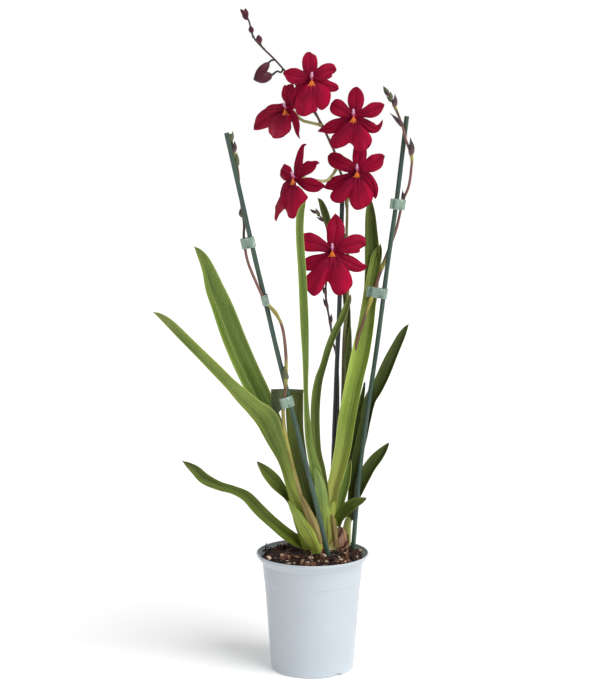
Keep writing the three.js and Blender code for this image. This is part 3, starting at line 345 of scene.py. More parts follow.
class Effect(Enum):
    """The shared effects, each one a node group, with its inputs and what they start from."""

    MOTTLE = {"Scale": 30.0, "Low": 0.4, "High": 0.6, "Detail": 3.0}
    STREAKS = {"Along": 0.0, "Across": 0.0, "Count": 20.0, "Length": 2.0, "Shift": 0.0}
    RIM = {"Across": 0.0, "Low": 0.9, "High": 1.0}
    GRAIN = {"Scale": 800.0}


class Graph:
    """Adds nodes to one node tree and joins them."""

    def __init__(self, tree: bpy.types.NodeTree) -> None:
        """Keep the tree that the nodes go into."""
        self.tree = tree

    def put(self, socket: Socket, value: Value) -> None:
        """Join a value to a socket, or set it there.

        Args:
            socket: The input socket.
            value: Another node's output, a colour, or a number or vector.
        """
        if isinstance(value, Socket):
            self.tree.links.new(value, socket)
        else:
            socket.default_value = linear(value) if isinstance(value, str) else value

    def add(
        self, kind: str, inputs: dict[str | int, Value] | None = None, **settings: object
    ) -> bpy.types.Node:
        """Add a node.

        Args:
            kind: The node's type.
            inputs: What goes into its sockets.
            **settings: What its own options are set to.

        Returns:
            The new node.
        """
        node = self.tree.nodes.new(kind)
        for name, value in settings.items():
            setattr(node, name, value)
        for name, value in (inputs or {}).items():
            self.put(node.inputs[name], value)
        return node

    def mark(self, label: str) -> Socket:
        """The number that the mesh carries under a label: along, across or tone."""
        return self.add("ShaderNodeAttribute", attribute_name=label).outputs["Fac"]

    def math(self, how: str, first: Value, second: Value = 0.0, third: Value = 0.0) -> Socket:
        """Work out one number from up to three, by a sum such as MULTIPLY."""
        return self.add("ShaderNodeMath", {0: first, 1: second, 2: third}, operation=how).outputs[0]

    def between(self, value: Value, low: Value, high: Value, start: float = 0, end: float = 1) -> Socket:
        """Map a number smoothly from low and high to start and end."""
        inputs = {0: value, 1: low, 2: high, 3: start, 4: end}
        return self.add("ShaderNodeMapRange", inputs, interpolation_type="SMOOTHSTEP").outputs[0]

    def above(self, tone: Value, number: float) -> Socket:
        """1 where the tone is a whole number or more, and 0 below it."""
        return self.between(tone, number - 0.6, number - 0.4)

    def lower_face(self) -> Socket:
        """1 on the lower face of a blade, whose tone is odd."""
        return self.above(self.math("MODULO", self.mark("tone"), 2.0), 1)

    def mix(self, share: Value, first: Value, second: Value, how: str = "MIX") -> Socket:
        """Mix a share of a second colour into a first one, in a way such as MIX or MULTIPLY."""
        inputs = {0: share, 6: first, 7: second}
        return self.add("ShaderNodeMix", inputs, data_type="RGBA", blend_type=how).outputs[2]

    def over(self, colour: Value, *layers: tuple) -> Value:
        """Lay colours over one another.

        Args:
            colour: The colour at the bottom.
            *layers: For each layer its mask, how strong it is at most, its colour, and the way to mix
                it if that isn't MIX.

        Returns:
            The colour on top.
        """
        for mask, most, laid, *how in layers:
            colour = self.mix(self.math("MULTIPLY", mask, most), colour, laid, *how)
        return colour

    def ramp(self, value: Value, *stops: tuple[float, Colour]) -> Socket:
        """Read a colour from a row of colours.

        Args:
            value: The place in the row, from 0 to 1.
            *stops: The place and colour of each stop.

        Returns:
            The colour.
        """
        node = self.add("ShaderNodeValToRGB", {0: value})
        row = node.color_ramp.elements
        while len(row) < len(stops):
            row.new(0.5)
        for element, (place, colour) in zip(row, stops):
            element.position = place
            element.color = linear(colour)
        return node.outputs[0]

    def noise(self, vector: Value, scale: Value, detail: Value = 3, rough: float = 0.5) -> Socket:
        """Cloudy noise from 0 to 1, read at a vector."""
        inputs = {"Vector": vector, "Scale": scale, "Detail": detail, "Roughness": rough}
        return self.add("ShaderNodeTexNoise", inputs).outputs[0]

    def here(self) -> Socket:
        """The place on the object, in metres."""
        return self.add("ShaderNodeTexCoord").outputs["Object"]

    def effect(self, kind: Effect, *values: Value) -> Socket:
        """Place a shared effect, give its inputs these values in their order, and return its mask."""
        node = self.add("ShaderNodeGroup", dict(enumerate(values)), node_tree=shared(kind))
        return node.outputs[0]

    def mottle(self, scale: float, low: float, high: float, detail: float = 3) -> Socket:
        """Blotches, cut between a low and a high value of the noise."""
        return self.effect(Effect.MOTTLE, scale, low, high, detail)

    def streaks(self, count: float, length: float, shift: float, turned: bool = False) -> Socket:
        """Streaks along the piece, or across it where they are turned."""
        marks = [self.mark("along"), self.mark("across")]
        return self.effect(Effect.STREAKS, *(marks[::-1] if turned else marks), count, length, shift)

    def rim(self, low: float, high: float) -> Socket:
        """Rise towards both edges of the piece."""
        return self.effect(Effect.RIM, self.mark("across"), low, high)

    def grain(self, scale: float) -> Socket:
        """Fine grain all over."""
        return self.effect(Effect.GRAIN, scale)


def shared(kind: Effect) -> bpy.types.NodeTree:
    """The node group of a shared effect, built the first time that it is asked for.

    Mottle is noise in object coordinates, cut between a low and a high value. Streaks is noise at
    (across * count, along * length), so its spots are drawn out along the piece. Rim rises from 0
    to 1 between two distances from the middle line. Grain is fine noise in object coordinates.

    Args:
        kind: The effect.

    Returns:
        Its node group.
    """
    label = kind.name.lower()
    found = bpy.data.node_groups.get(label)
    if found:
        return found
    tree = bpy.data.node_groups.new(label, "ShaderNodeTree")
    for name, value in kind.value.items():
        socket = tree.interface.new_socket(name=name, in_out="INPUT", socket_type="NodeSocketFloat")
        socket.default_value = value
    tree.interface.new_socket(name="Mask", in_out="OUTPUT", socket_type="NodeSocketFloat")
    graph = Graph(tree)
    given = graph.add("NodeGroupInput").outputs
    if kind is Effect.MOTTLE:
        cloud = graph.noise(graph.here(), given["Scale"], given["Detail"])
        result = graph.between(cloud, given["Low"], given["High"])
    elif kind is Effect.STREAKS:
        aside = graph.math("MULTIPLY", given["Across"], given["Count"])
        ahead = graph.math("MULTIPLY", given["Along"], given["Length"])
        vector = graph.add("ShaderNodeCombineXYZ", {0: aside, 1: ahead, 2: given["Shift"]}).outputs[0]
        result = graph.noise(vector, 1.0, 2)
    elif kind is Effect.RIM:
        result = graph.between(graph.math("ABSOLUTE", given["Across"]), given["Low"], given["High"])
    else:
        result = graph.noise(graph.here(), given["Scale"], 4, 0.6)
    graph.put(graph.add("NodeGroupOutput").inputs[0], result)
    return tree


@dataclass(frozen=True)
class Finish:
    """What all finishes share: a name and the constant numbers of the shader."""

    name: str

    constants: ClassVar[dict[str, float | tuple[float, ...]]] = {}

    def material(self) -> bpy.types.Material:
        """The material of this finish, made the first time that it is asked for.

        Returns:
            A material with one Principled shader, which reads the colour, roughness and height that
            the finish paints.
        """
        found = bpy.data.materials.get(self.name)
        if found:
            return found
        made = bpy.data.materials.new(self.name)
        made.use_nodes = True
        made.node_tree.nodes.clear()
        graph = Graph(made.node_tree)
        colour, roughness, height, depth = self.paint(graph)
        bump = graph.add("ShaderNodeBump", {"Strength": 1.0, "Distance": depth, "Height": height})
        inputs = {"Base Color": colour, "Roughness": roughness, "Normal": bump.outputs[0], **self.constants}
        shader = graph.add("ShaderNodeBsdfPrincipled", inputs)
        graph.add("ShaderNodeOutputMaterial", {"Surface": shader.outputs[0]})
        return made

    def paint(self, graph: Graph) -> Look:
        """The colour, the roughness, the height of the relief from 0 to 1, and its depth in metres."""
        raise NotImplementedError


@dataclass(frozen=True)
class LeafFinish(Finish):
    """A strap leaf: long veins, a pale midrib with painted shade in the groove beside it, coloured margins
    and a lighter underside.
    """

    foot: Colour
    blade: Colour
    light: Colour
    tip: Colour
    under: Colour
    rim: Colour
    sheath: Colour
    ripe: float = 0.84
    dry: Colour = "#b7a468"
    dry_vein: Colour = "#8d6f45"

    constants: ClassVar = {"Specular IOR Level": 0.32, "Coat Weight": 0.08, "Coat Roughness": 0.3}

    def paint(self, graph: Graph) -> Look:
        """The foot turns into the blade over the first third, and the tip turns its own colour.

        Tones 0 and 1 are the two faces of the blade, 2 and 3 those of a sheath, and 4 and 5 those of
        a dry sheath.

        Args:
            graph: The graph of the material.

        Returns:
            The colour, roughness, height and depth.
        """
        along, tone = graph.mark("along"), graph.mark("tone")
        middle = (0.36, self.blade), (self.ripe, self.blade)
        blade = graph.ramp(along, (0.0, self.foot), (0.1, self.foot), *middle, (1.0, self.tip))
        sheath = graph.ramp(along, (0.0, self.foot), (0.3, self.foot), (0.7, self.sheath), (1.0, self.sheath))
        patches = graph.mottle(20, 0.38, 0.66)
        lines = graph.between(graph.streaks(24, 2, 1), 0.35, 0.65)
        midrib = graph.rim(0.02, 0.08)
        # Painted shade: the band on either side of the pale midrib is darkened, as shade in its groove.
        painted_groove_shade = graph.math("MULTIPLY", midrib, graph.math("SUBTRACT", 1.0, graph.rim(0.08, 0.3)))
        colour = graph.over(
            blade,
            (graph.above(tone, 2), 1, sheath),
            (patches, 0.35, self.light),
            (graph.between(graph.streaks(3.4, 1.4, 4), 0.35, 0.7), 0.6, self.light),
            (graph.between(graph.streaks(2.2, 2.3, 9), 0.42, 0.75), 0.4, self.blade, "MULTIPLY"),
            (lines, 0.22, self.blade, "MULTIPLY"),
            (graph.above(tone, 4), 1, graph.mix(lines, self.dry, self.dry_vein)),
            (graph.mottle(260, 0.62, 0.72, 2), 0.25, self.tip),
            (graph.math("SUBTRACT", 1.0, midrib), 0.4, self.rim),
            (painted_groove_shade, 0.4, self.blade, "MULTIPLY"),
            (graph.lower_face(), 0.65, self.under),
            (graph.rim(0.9, 0.985), 0.75, self.rim),
        )
        height = graph.math("MULTIPLY_ADD", graph.grain(900), 0.3, graph.math("MULTIPLY", lines, 0.8))
        return colour, graph.between(patches, 0, 1, 0.34, 0.48), height, 0.0003


@dataclass(frozen=True)
class PetalFinish(Finish):
    """A velvety red bloom: dark towards the middle of the bloom and at the rims, with painted shade down the
    groove in the middle of each sepal and petal, and brighter on the lip.
    """

    dark: Colour = "#5c0220"
    red: Colour = "#960029"
    bright: Colour = "#ba0236"
    rim: Colour = "#74062a"
    under: Colour = "#85062c"

    constants: ClassVar = {
        "Specular IOR Level": 0.09,
        "Sheen Weight": 0.012,
        "Sheen Roughness": 0.4,
        "Sheen Tint": (1.0, 0.1, 0.3, 1.0),
        "Subsurface Weight": 0.05,
        "Subsurface Radius": (0.003, 0.0008, 0.0008),
        "Subsurface Scale": 1.0,
    }

    def paint(self, graph: Graph) -> Look:
        """Veins fan out from the foot. Tone 2 is the lip and tone 4 is the core behind.

        Args:
            graph: The graph of the material.

        Returns:
            The colour, roughness, height and depth.
        """
        along, lip = graph.mark("along"), graph.above(graph.mark("tone"), 2)
        tepal = graph.ramp(
            along, (0.0, self.dark), (0.22, self.dark), (0.5, self.red), (0.86, self.red), (1.0, self.rim)
        )
        broad = graph.ramp(
            along, (0.0, self.dark), (0.3, self.dark), (0.58, self.red), (0.9, self.bright), (1.0, self.red)
        )
        clouds = graph.mottle(48, 0.42, 0.68, 2)
        lines = graph.between(graph.streaks(14, 0.9, 2), 0.42, 0.62)
        # Painted shade: the sepals and petals, but not the lip, darken along the groove down their middle.
        middle, blade = (graph.math("SUBTRACT", 1.0, mask) for mask in (graph.rim(0.02, 0.2), lip))
        colour = graph.over(
            tepal,
            (lip, 1, broad),
            (clouds, 0.5, self.bright),
            (graph.between(graph.streaks(3.6, 0.8, 6), 0.46, 0.72), 0.75, self.dark),
            (lines, 0.38, self.dark),
            (graph.math("MULTIPLY", middle, blade), 0.42, self.dark),
            (graph.rim(0.88, 1.0), 0.5, self.rim),
            (graph.lower_face(), 0.5, self.under),
        )
        height = graph.math("MULTIPLY_ADD", graph.grain(1400), 0.4, graph.math("MULTIPLY", lines, 0.6))
        return colour, graph.between(clouds, 0, 1, 0.6, 0.46), height, 0.00028


@dataclass(frozen=True)
class ColumnFinish(Finish):
    """The waxy middle of a bloom: a pink column with a pale cap over an orange callus."""

    foot: Colour = "#7c1844"
    pink: Colour = "#b9618f"
    blush: Colour = "#b04a86"
    cap: Colour = "#d8a3c0"
    orange: Colour = "#d9660a"
    yellow: Colour = "#eda531"
    spots: Colour = "#8c2a16"

    constants: ClassVar = {
        "Specular IOR Level": 0.5,
        "Coat Weight": 0.2,
        "Coat Roughness": 0.25,
        "Subsurface Weight": 0.1,
        "Subsurface Radius": (0.002, 0.001, 0.0006),
        "Subsurface Scale": 1.0,
    }

    def paint(self, graph: Graph) -> Look:
        """Tone 0 is the column, tone 1 its cap and tone 2 the callus.

        Args:
            graph: The graph of the material.

        Returns:
            The colour, roughness, height and depth.
        """
        along, tone = graph.mark("along"), graph.mark("tone")
        column = graph.ramp(along, (0.0, self.foot), (0.4, self.pink), (1.0, self.cap))
        callus = graph.ramp(along, (0.0, self.orange), (0.55, self.orange), (1.0, self.yellow))
        blush = graph.mottle(300, 0.4, 0.65, 2)
        colour = graph.over(
            column,
            (graph.above(tone, 1), 1, self.cap),
            (blush, 0.35, self.blush),
            (graph.above(tone, 2), 1, graph.over(callus, (graph.mottle(700, 0.6, 0.68, 1), 0.7, self.spots))),
        )
        return colour, graph.between(blush, 0, 1, 0.3, 0.45), graph.grain(1500), 0.00015


class StemColour(Enum):
    """The colours that a flower stem goes through."""

    STRAW = "#b09a64"
    GREEN = "#aba64f"
    MOSS = "#6b6c3e"
    OLIVE = "#84824f"
    BROWN = "#765a40"
    PINK = "#885c52"
    DARK = "#4b4035"
    PLUM = "#42302e"


@dataclass(frozen=True)
class StemFinish(Finish):
    """A flower stem whose colour changes from joint to joint, with its bracts and stalks."""

    low: float
    high: float
    bands: Sequence[tuple[StemColour, float, float]]
    flush: Colour = "#5a3a30"
    bract: Colour = "#35222f"
    collar: Colour = "#6b4a48"
    stalk: Colour = "#a9a468"
    shoot_tip: Colour = "#5c6040"
    dark_stalk: Colour = "#34342a"

    constants: ClassVar = {"Specular IOR Level": 0.4, "Coat Weight": 0.1, "Coat Roughness": 0.35}

    def paint(self, graph: Graph) -> Look:
        """Each band gives the stem's colour between two heights in millimetres.

        Tones 0 and 1 are the stem, 2 and 3 a bract, 4 a stalk, 6 and 7 a green bract, 8 a dark stalk.

        Args:
            graph: The graph of the material.

        Returns:
            The colour, roughness, height and depth.
        """
        along, tone = graph.mark("along"), graph.mark("tone")
        span = self.high - self.low
        stops = [((height - self.low) / span, band.value) for band, *ends in self.bands for height in ends]
        patches = graph.mottle(60, 0.42, 0.66)
        lines = graph.between(graph.streaks(5, 14, 3), 0.4, 0.65)
        colour = graph.over(
            graph.ramp(along, *stops),
            (patches, 0.35, self.flush),
            (graph.above(tone, 2), 1, graph.mix(graph.between(along, 0.0, 0.45), self.collar, self.bract)),
            (graph.above(tone, 4), 1, self.stalk),
            (graph.above(tone, 6), 1, self.shoot_tip),
            (graph.above(tone, 8), 1, self.dark_stalk),
            (lines, 0.3, self.flush, "MULTIPLY"),
            (graph.mottle(900, 0.58, 0.7, 1), 0.3, self.flush),
        )
        height = graph.math("ADD", lines, graph.grain(1100))
        return colour, graph.between(patches, 0, 1, 0.38, 0.52), height, 0.00018


@dataclass(frozen=True)
class StickFinish(Finish):
    """A painted split cane: dark green with long scratches, pale where it was cut."""

    coat: Colour
    worn: Colour
    cut: Colour = "#8d9a7c"

    constants: ClassVar = {"Specular IOR Level": 0.5, "Coat Weight": 0.4, "Coat Roughness": 0.22}

    def paint(self, graph: Graph) -> Look:
        """Tone 1 is the cut end.

        Args:
            graph: The graph of the material.

        Returns:
            The colour, roughness, height and depth.
        """
        lines = graph.between(graph.streaks(9, 18, 2), 0.38, 0.66)
        colour = graph.over(
            self.coat,
            (lines, 0.6, self.worn),
            (graph.mottle(18, 0.35, 0.7), 0.45, self.worn),
            (graph.above(graph.mark("tone"), 1), 1, self.cut),
        )
        return colour, graph.between(lines, 0, 1, 0.34, 0.5), lines, 0.0002


@dataclass(frozen=True)
class RibbonFinish(Finish):
    """A translucent green plastic ribbon, shiny and a little creased, with painted shade and painted
    highlights.
    """

    # The darkest colour is painted shade, and the palest a painted highlight on bands and edges.
    film: Colour = "#8aa592"
    fold: Colour = "#40564c"
    painted_highlight: Colour = "#c3d3c7"

    constants: ClassVar = {
        "Transmission Weight": 0.2,
        "IOR": 1.45,
        "Coat Weight": 0.5,
        "Coat Roughness": 0.12,
    }

    def paint(self, graph: Graph) -> Look:
        """Bands of painted shade and painted highlight lie across the film, with a painted highlight along
        both edges and fine crease lines darkened in the painted shade colour.

        Args:
            graph: The graph of the material.

        Returns:
            The colour, roughness, height and depth.
        """
        broad = graph.streaks(9, 0.35, 5, turned=True)
        lines = graph.between(graph.streaks(30, 0.7, 2, turned=True), 0.45, 0.7)
        film = graph.ramp(broad, (0.3, self.fold), (0.46, self.film), (0.56, self.film), (0.68, self.painted_highlight))
        colour = graph.over(film, (lines, 0.25, self.fold), (graph.rim(0.84, 0.98), 0.5, self.painted_highlight))
        return colour, graph.between(broad, 0.3, 0.7, 0.3, 0.15), lines, 0.0002


@dataclass(frozen=True)
class PotFinish(Finish):
    """Moulded plastic in a cool white, with a faint orange peel and dust on the ledges."""

    body: Colour = "#b9c1c8"
    shade: Colour = "#aeb7be"
    dust: Colour = "#a79f92"

    constants: ClassVar = {
        "Specular IOR Level": 0.5,
        "Coat Weight": 0.1,
        "Coat Roughness": 0.3,
        "Subsurface Weight": 0.04,
        "Subsurface Radius": (0.004, 0.004, 0.004),
        "Subsurface Scale": 1.0,
    }

    def paint(self, graph: Graph) -> Look:
        """Faint rings from the mould, soft clouds, and specks of dust near the rim and foot.

        Args:
            graph: The graph of the material.

        Returns:
            The colour, roughness, height and depth.
        """
        level = graph.add("ShaderNodeSeparateXYZ", {0: graph.here()}).outputs[2]
        rings = graph.noise(graph.add("ShaderNodeCombineXYZ", {2: level}).outputs[0], 420, 2)
        foot = graph.between(level, 0.0, 0.02, 1, 0.12)
        ledge = graph.between(level, 0.112, 0.124, 0.1, 0.8)
        specks = graph.math("MULTIPLY", graph.mottle(420, 0.66, 0.72, 2), graph.math("MAXIMUM", foot, ledge))
        colour = graph.over(
            self.body,
            (graph.mottle(14, 0.35, 0.7), 0.45, self.shade),
            (graph.between(rings, 0.4, 0.7), 0.12, self.shade),
            (specks, 0.7, self.dust),
        )
        peel = graph.math("MULTIPLY_ADD", rings, 0.15, graph.grain(600))
        return colour, graph.between(graph.mottle(70, 0.45, 0.8, 6), 0, 1, 0.3, 0.46), peel, 0.00008


@dataclass(frozen=True)
class BarkFinish(Finish):
    """Damp bark chips in browns, with paler broken faces and dark pores."""

    browns: tuple[Colour, ...] = ("#0f0806", "#28130d", "#4a2418", "#80553b", "#b79c80", "#d9c8b0")
    pore: Colour = "#0d0705"

    constants: ClassVar = {"Specular IOR Level": 0.35}

    def paint(self, graph: Graph) -> Look:
        """Tone picks the chip's own brown, from 0, wet and dark, to 1, dry and pale.

        Args:
            graph: The graph of the material.

        Returns:
            The colour, roughness, height and depth.
        """
        fibres, rough = graph.streaks(7, 1.5, 6, turned=True), graph.grain(420)
        shifted = graph.math("ADD", graph.mark("tone"), graph.between(fibres, 0.3, 0.7, -0.16, 0.16))
        shifted = graph.math("ADD", shifted, graph.between(rough, 0.3, 0.7, -0.14, 0.14))
        brown = graph.ramp(shifted, *zip((0.0, 0.32, 0.55, 0.75, 0.92, 1.0), self.browns))
        colour = graph.over(brown, (graph.mottle(520, 0.6, 0.7), 0.7, self.pore))
        height = graph.math("MULTIPLY_ADD", fibres, 0.8, rough)
        return colour, graph.between(rough, 0.3, 0.7, 0.55, 0.95), height, 0.0011


@dataclass(frozen=True)
class ShootFinish(Finish):
    """A sheathed shoot: fine ribs, pale at the foot and green above."""

    foot: Colour
    middle: Colour
    top: Colour
    ribs: Colour
    depth: float = 0.0003
    husk: Colour = "#c79c80"
    edge: Colour = "#4a2416"

    constants: ClassVar = {"Specular IOR Level": 0.4, "Coat Weight": 0.1, "Coat Roughness": 0.35}

    def paint(self, graph: Graph) -> Look:
        """Ribs run up the shoot, and blotches break up its colour. Tones 2 and 3 are husks.

        Args:
            graph: The graph of the material.

        Returns:
            The colour, roughness, height and depth.
        """
        along, wrapped = graph.mark("along"), graph.above(graph.mark("tone"), 2)
        skin = graph.ramp(along, (0.0, self.foot), (0.3, self.foot), (0.55, self.middle), (0.9, self.top))
        husk = graph.ramp(
            along, (0.0, self.ribs), (0.3, self.husk), (0.82, self.husk), (0.93, self.edge), (1.0, self.edge)
        )
        lines = graph.between(graph.streaks(13, 2.2, 7), 0.38, 0.66)
        blotches = graph.mottle(110, 0.5, 0.7, 4)
        colour = graph.over(
            skin,
            (wrapped, 1, husk),
            (lines, 0.45, self.ribs),
            (blotches, 0.4, self.ribs),
            (graph.math("MULTIPLY", graph.rim(0.86, 0.97), wrapped), 1, self.edge),
        )
        height = graph.math("MULTIPLY_ADD", graph.grain(700), 0.6, lines)
        return colour, graph.between(blotches, 0, 1, 0.4, 0.62), height, self.depth


@dataclass(frozen=True)
class BudFinish(Finish):
    """A closed bud: dark plum with redder seams and a near black tip."""

    foot: Colour = "#56182c"
    body: Colour = "#4c0a24"
    tip: Colour = "#220a18"
    seam: Colour = "#6c2038"

    constants: ClassVar = {"Specular IOR Level": 0.3, "Sheen Weight": 0.04, "Sheen Roughness": 0.5}

    def paint(self, graph: Graph) -> Look:
        """The sepals' veins run to the tip, which darkens.

        Args:
            graph: The graph of the material.

        Returns:
            The colour, roughness, height and depth.
        """
        skin = graph.ramp(
            graph.mark("along"), (0.0, self.foot), (0.45, self.body), (0.8, self.body), (1.0, self.tip)
        )
        lines = graph.between(graph.streaks(8, 1.5, 8), 0.42, 0.66)
        clouds = graph.mottle(150, 0.4, 0.65)
        colour = graph.over(skin, (lines, 0.5, self.seam), (clouds, 0.35, self.tip))
        return colour, graph.between(clouds, 0, 1, 0.42, 0.56), lines, 0.0002


@dataclass(frozen=True)
class FloorFinish(Finish):
    """The pale matt floor of the studio."""

    pale: Colour = "#fafafa"
    shade: Colour = "#f9f9f9"

    constants: ClassVar = {"Emission Color": (1.0, 1.0, 1.0, 1.0), "Emission Strength": 0.24}

    def paint(self, graph: Graph) -> Look:
        """Very soft clouds in an almost even white, as colour, roughness, height and depth."""
        return graph.mix(graph.mottle(3, 0.3, 0.7, 2), self.pale, self.shade), 0.75, graph.grain(200), 0.00001


# The pieces


@dataclass
class Pot:
    """A thin tapered pot with a step, a flared rim, a foot ring, drain holes and foot notches."""

    height: float = 126
    wall: float = 1.5
    floor: float = 4
    rim: float = 60
    neck: tuple[float, float] = (53.6, 115.5)
    step: tuple[float, float] = (52.1, 96)
    step_depth: float = 0.7
    base: float = 44.5
    foot: tuple[float, float] = (39.5, 43)
    foot_height: float = 2.4
    boss: float = 10
    notches: int = 3
    notch: tuple[float, float] = (8, 3.2)
    notch_azimuth: float = -53
    drains: int = 6
    drain: tuple[float, float] = (4, 25)
    sides: int = 160

    def inside(self, gap: float, top: float) -> list[tuple[float, float]]:
        """The outline of the inside, from the middle of the floor up.

        Args:
            gap: How far it is moved in from the wall.
            top: The height of its last point.

        Returns:
            Radius and height of each corner.
        """
        wall = self.wall + gap
        return [
            (0.4, self.floor + gap),
            (self.base - wall - 1.5, self.floor + gap),
            (self.base - wall + 0.6, self.floor + 4),
            (self.step[0] - wall - self.step_depth, self.step[1]),
            (self.neck[0] - wall, self.neck[1] - 0.5),
            (self.rim - wall, self.height - 3),
            (self.rim - wall, top),
        ]

    def outline(self) -> Array:
        """The whole outline of the pot, from the middle of its underside round to its inside.

        Each corner is rounded by two points, a little way along the two lines that meet there.

        Returns:
            Radius and height of each point.
        """
        outside = [
            (0.4, 0),
            (self.boss, 0),
            (self.boss + 0.6, self.foot_height),
            (self.foot[0] - 0.4, self.foot_height),
            (self.foot[0], 0),
            (self.foot[1], 0),
            (self.foot[1] + 1.2, 0.8),
            (self.base, 4),
            (self.step[0] - self.step_depth, self.step[1]),
            (self.step[0], self.step[1] + 1),
            self.neck,
            (self.rim - 0.5, self.height - 3.2),
            (self.rim, self.height - 2.2),
            (self.rim, self.height),
        ]
        corners = np.array(outside + self.inside(0, self.height)[::-1], float)
        before = corners[:-2] - corners[1:-1]
        after = corners[2:] - corners[1:-1]
        shorter = np.minimum(np.linalg.norm(before, axis=1), np.linalg.norm(after, axis=1))
        cut = np.minimum(0.35 * shorter, 0.5)
        first = corners[1:-1] + unit(before) * cut[:, None]
        second = corners[1:-1] + unit(after) * cut[:, None]
        middle = 0.5 * corners[1:-1] + 0.25 * (first + second)
        rounded = np.stack([first, middle, second], axis=1).reshape(-1, 2)
        return np.vstack([corners[:1], rounded, corners[-1:]])

    def cutter(
        self, name: str, centres: Array, axes: Array, radius: float, length: float
    ) -> bpy.types.Object:
        """Round bars that are cut out of the pot.

        Args:
            name: The name of the piece that holds them.
            centres: The middle of each bar.
            axes: The direction of each bar.
            radius: Their radius.
            length: Their length.

        Returns:
            The bars, as one object.
        """
        pile = Pile()
        for centre, axis in zip(centres, unit(axes)):
            ends = centre + axis * np.array([[-0.5], [0.5]]) * length
            pile.tube(ends, np.full(2, radius), 40)
        return pile.piece(name)

    def build(self) -> bpy.types.Object:
        """Turn the outline round the Z axis and cut the holes and notches out of it.

        Returns:
            The pot.
        """
        outline = self.outline()
        angle = around(self.sides)
        circle = beside(np.cos(angle), np.sin(angle))
        flat = outline[:, :1, None] * circle[None]
        level = np.broadcast_to(outline[:, 1, None, None], (len(outline), self.sides, 1))
        grid = np.concatenate([flat, level], axis=2)
        pile = Pile()
        pile.rings(grid, np.linspace(0, 1, len(outline)), np.cos(angle), 0)
        piece = pile.piece("pot_shell", 32)
        turn = 2 * np.pi * np.arange(self.notches) / self.notches + np.radians(self.notch_azimuth)
        outward = beside(np.cos(turn), np.sin(turn), 0 * turn)
        arches = self.foot[1] * outward + [0, 0, self.notch[1] - self.notch[0]]
        turn = 2 * np.pi * (np.arange(self.drains) + 0.5) / self.drains
        ring = self.drain[1]
        holes = beside(ring * np.cos(turn), ring * np.sin(turn), 0 * turn + self.floor)
        bars = [
            self.cutter("notch_bars", arches, outward, self.notch[0], 12),
            self.cutter("drain_bars", holes, np.tile([0.0, 0.0, 1.0], (self.drains, 1)), self.drain[0], 14),
        ]
        for bar in bars:
            cut = piece.modifiers.new(bar.name, "BOOLEAN")
            cut.object = bar
            cut.operation = "DIFFERENCE"
            cut.solver = "EXACT"
        whole = piece.evaluated_get(bpy.context.evaluated_depsgraph_get())
        mesh = bpy.data.meshes.new_from_object(whole)
        piece.modifiers.clear()
        piece.data = mesh
        for bar in bars:
            bpy.data.objects.remove(bar)
        return piece

    def dress(self) -> None:
        """Build the pot and finish it in white plastic."""
        settle(self.build(), "pot", PotFinish("white_plastic"), "pot")


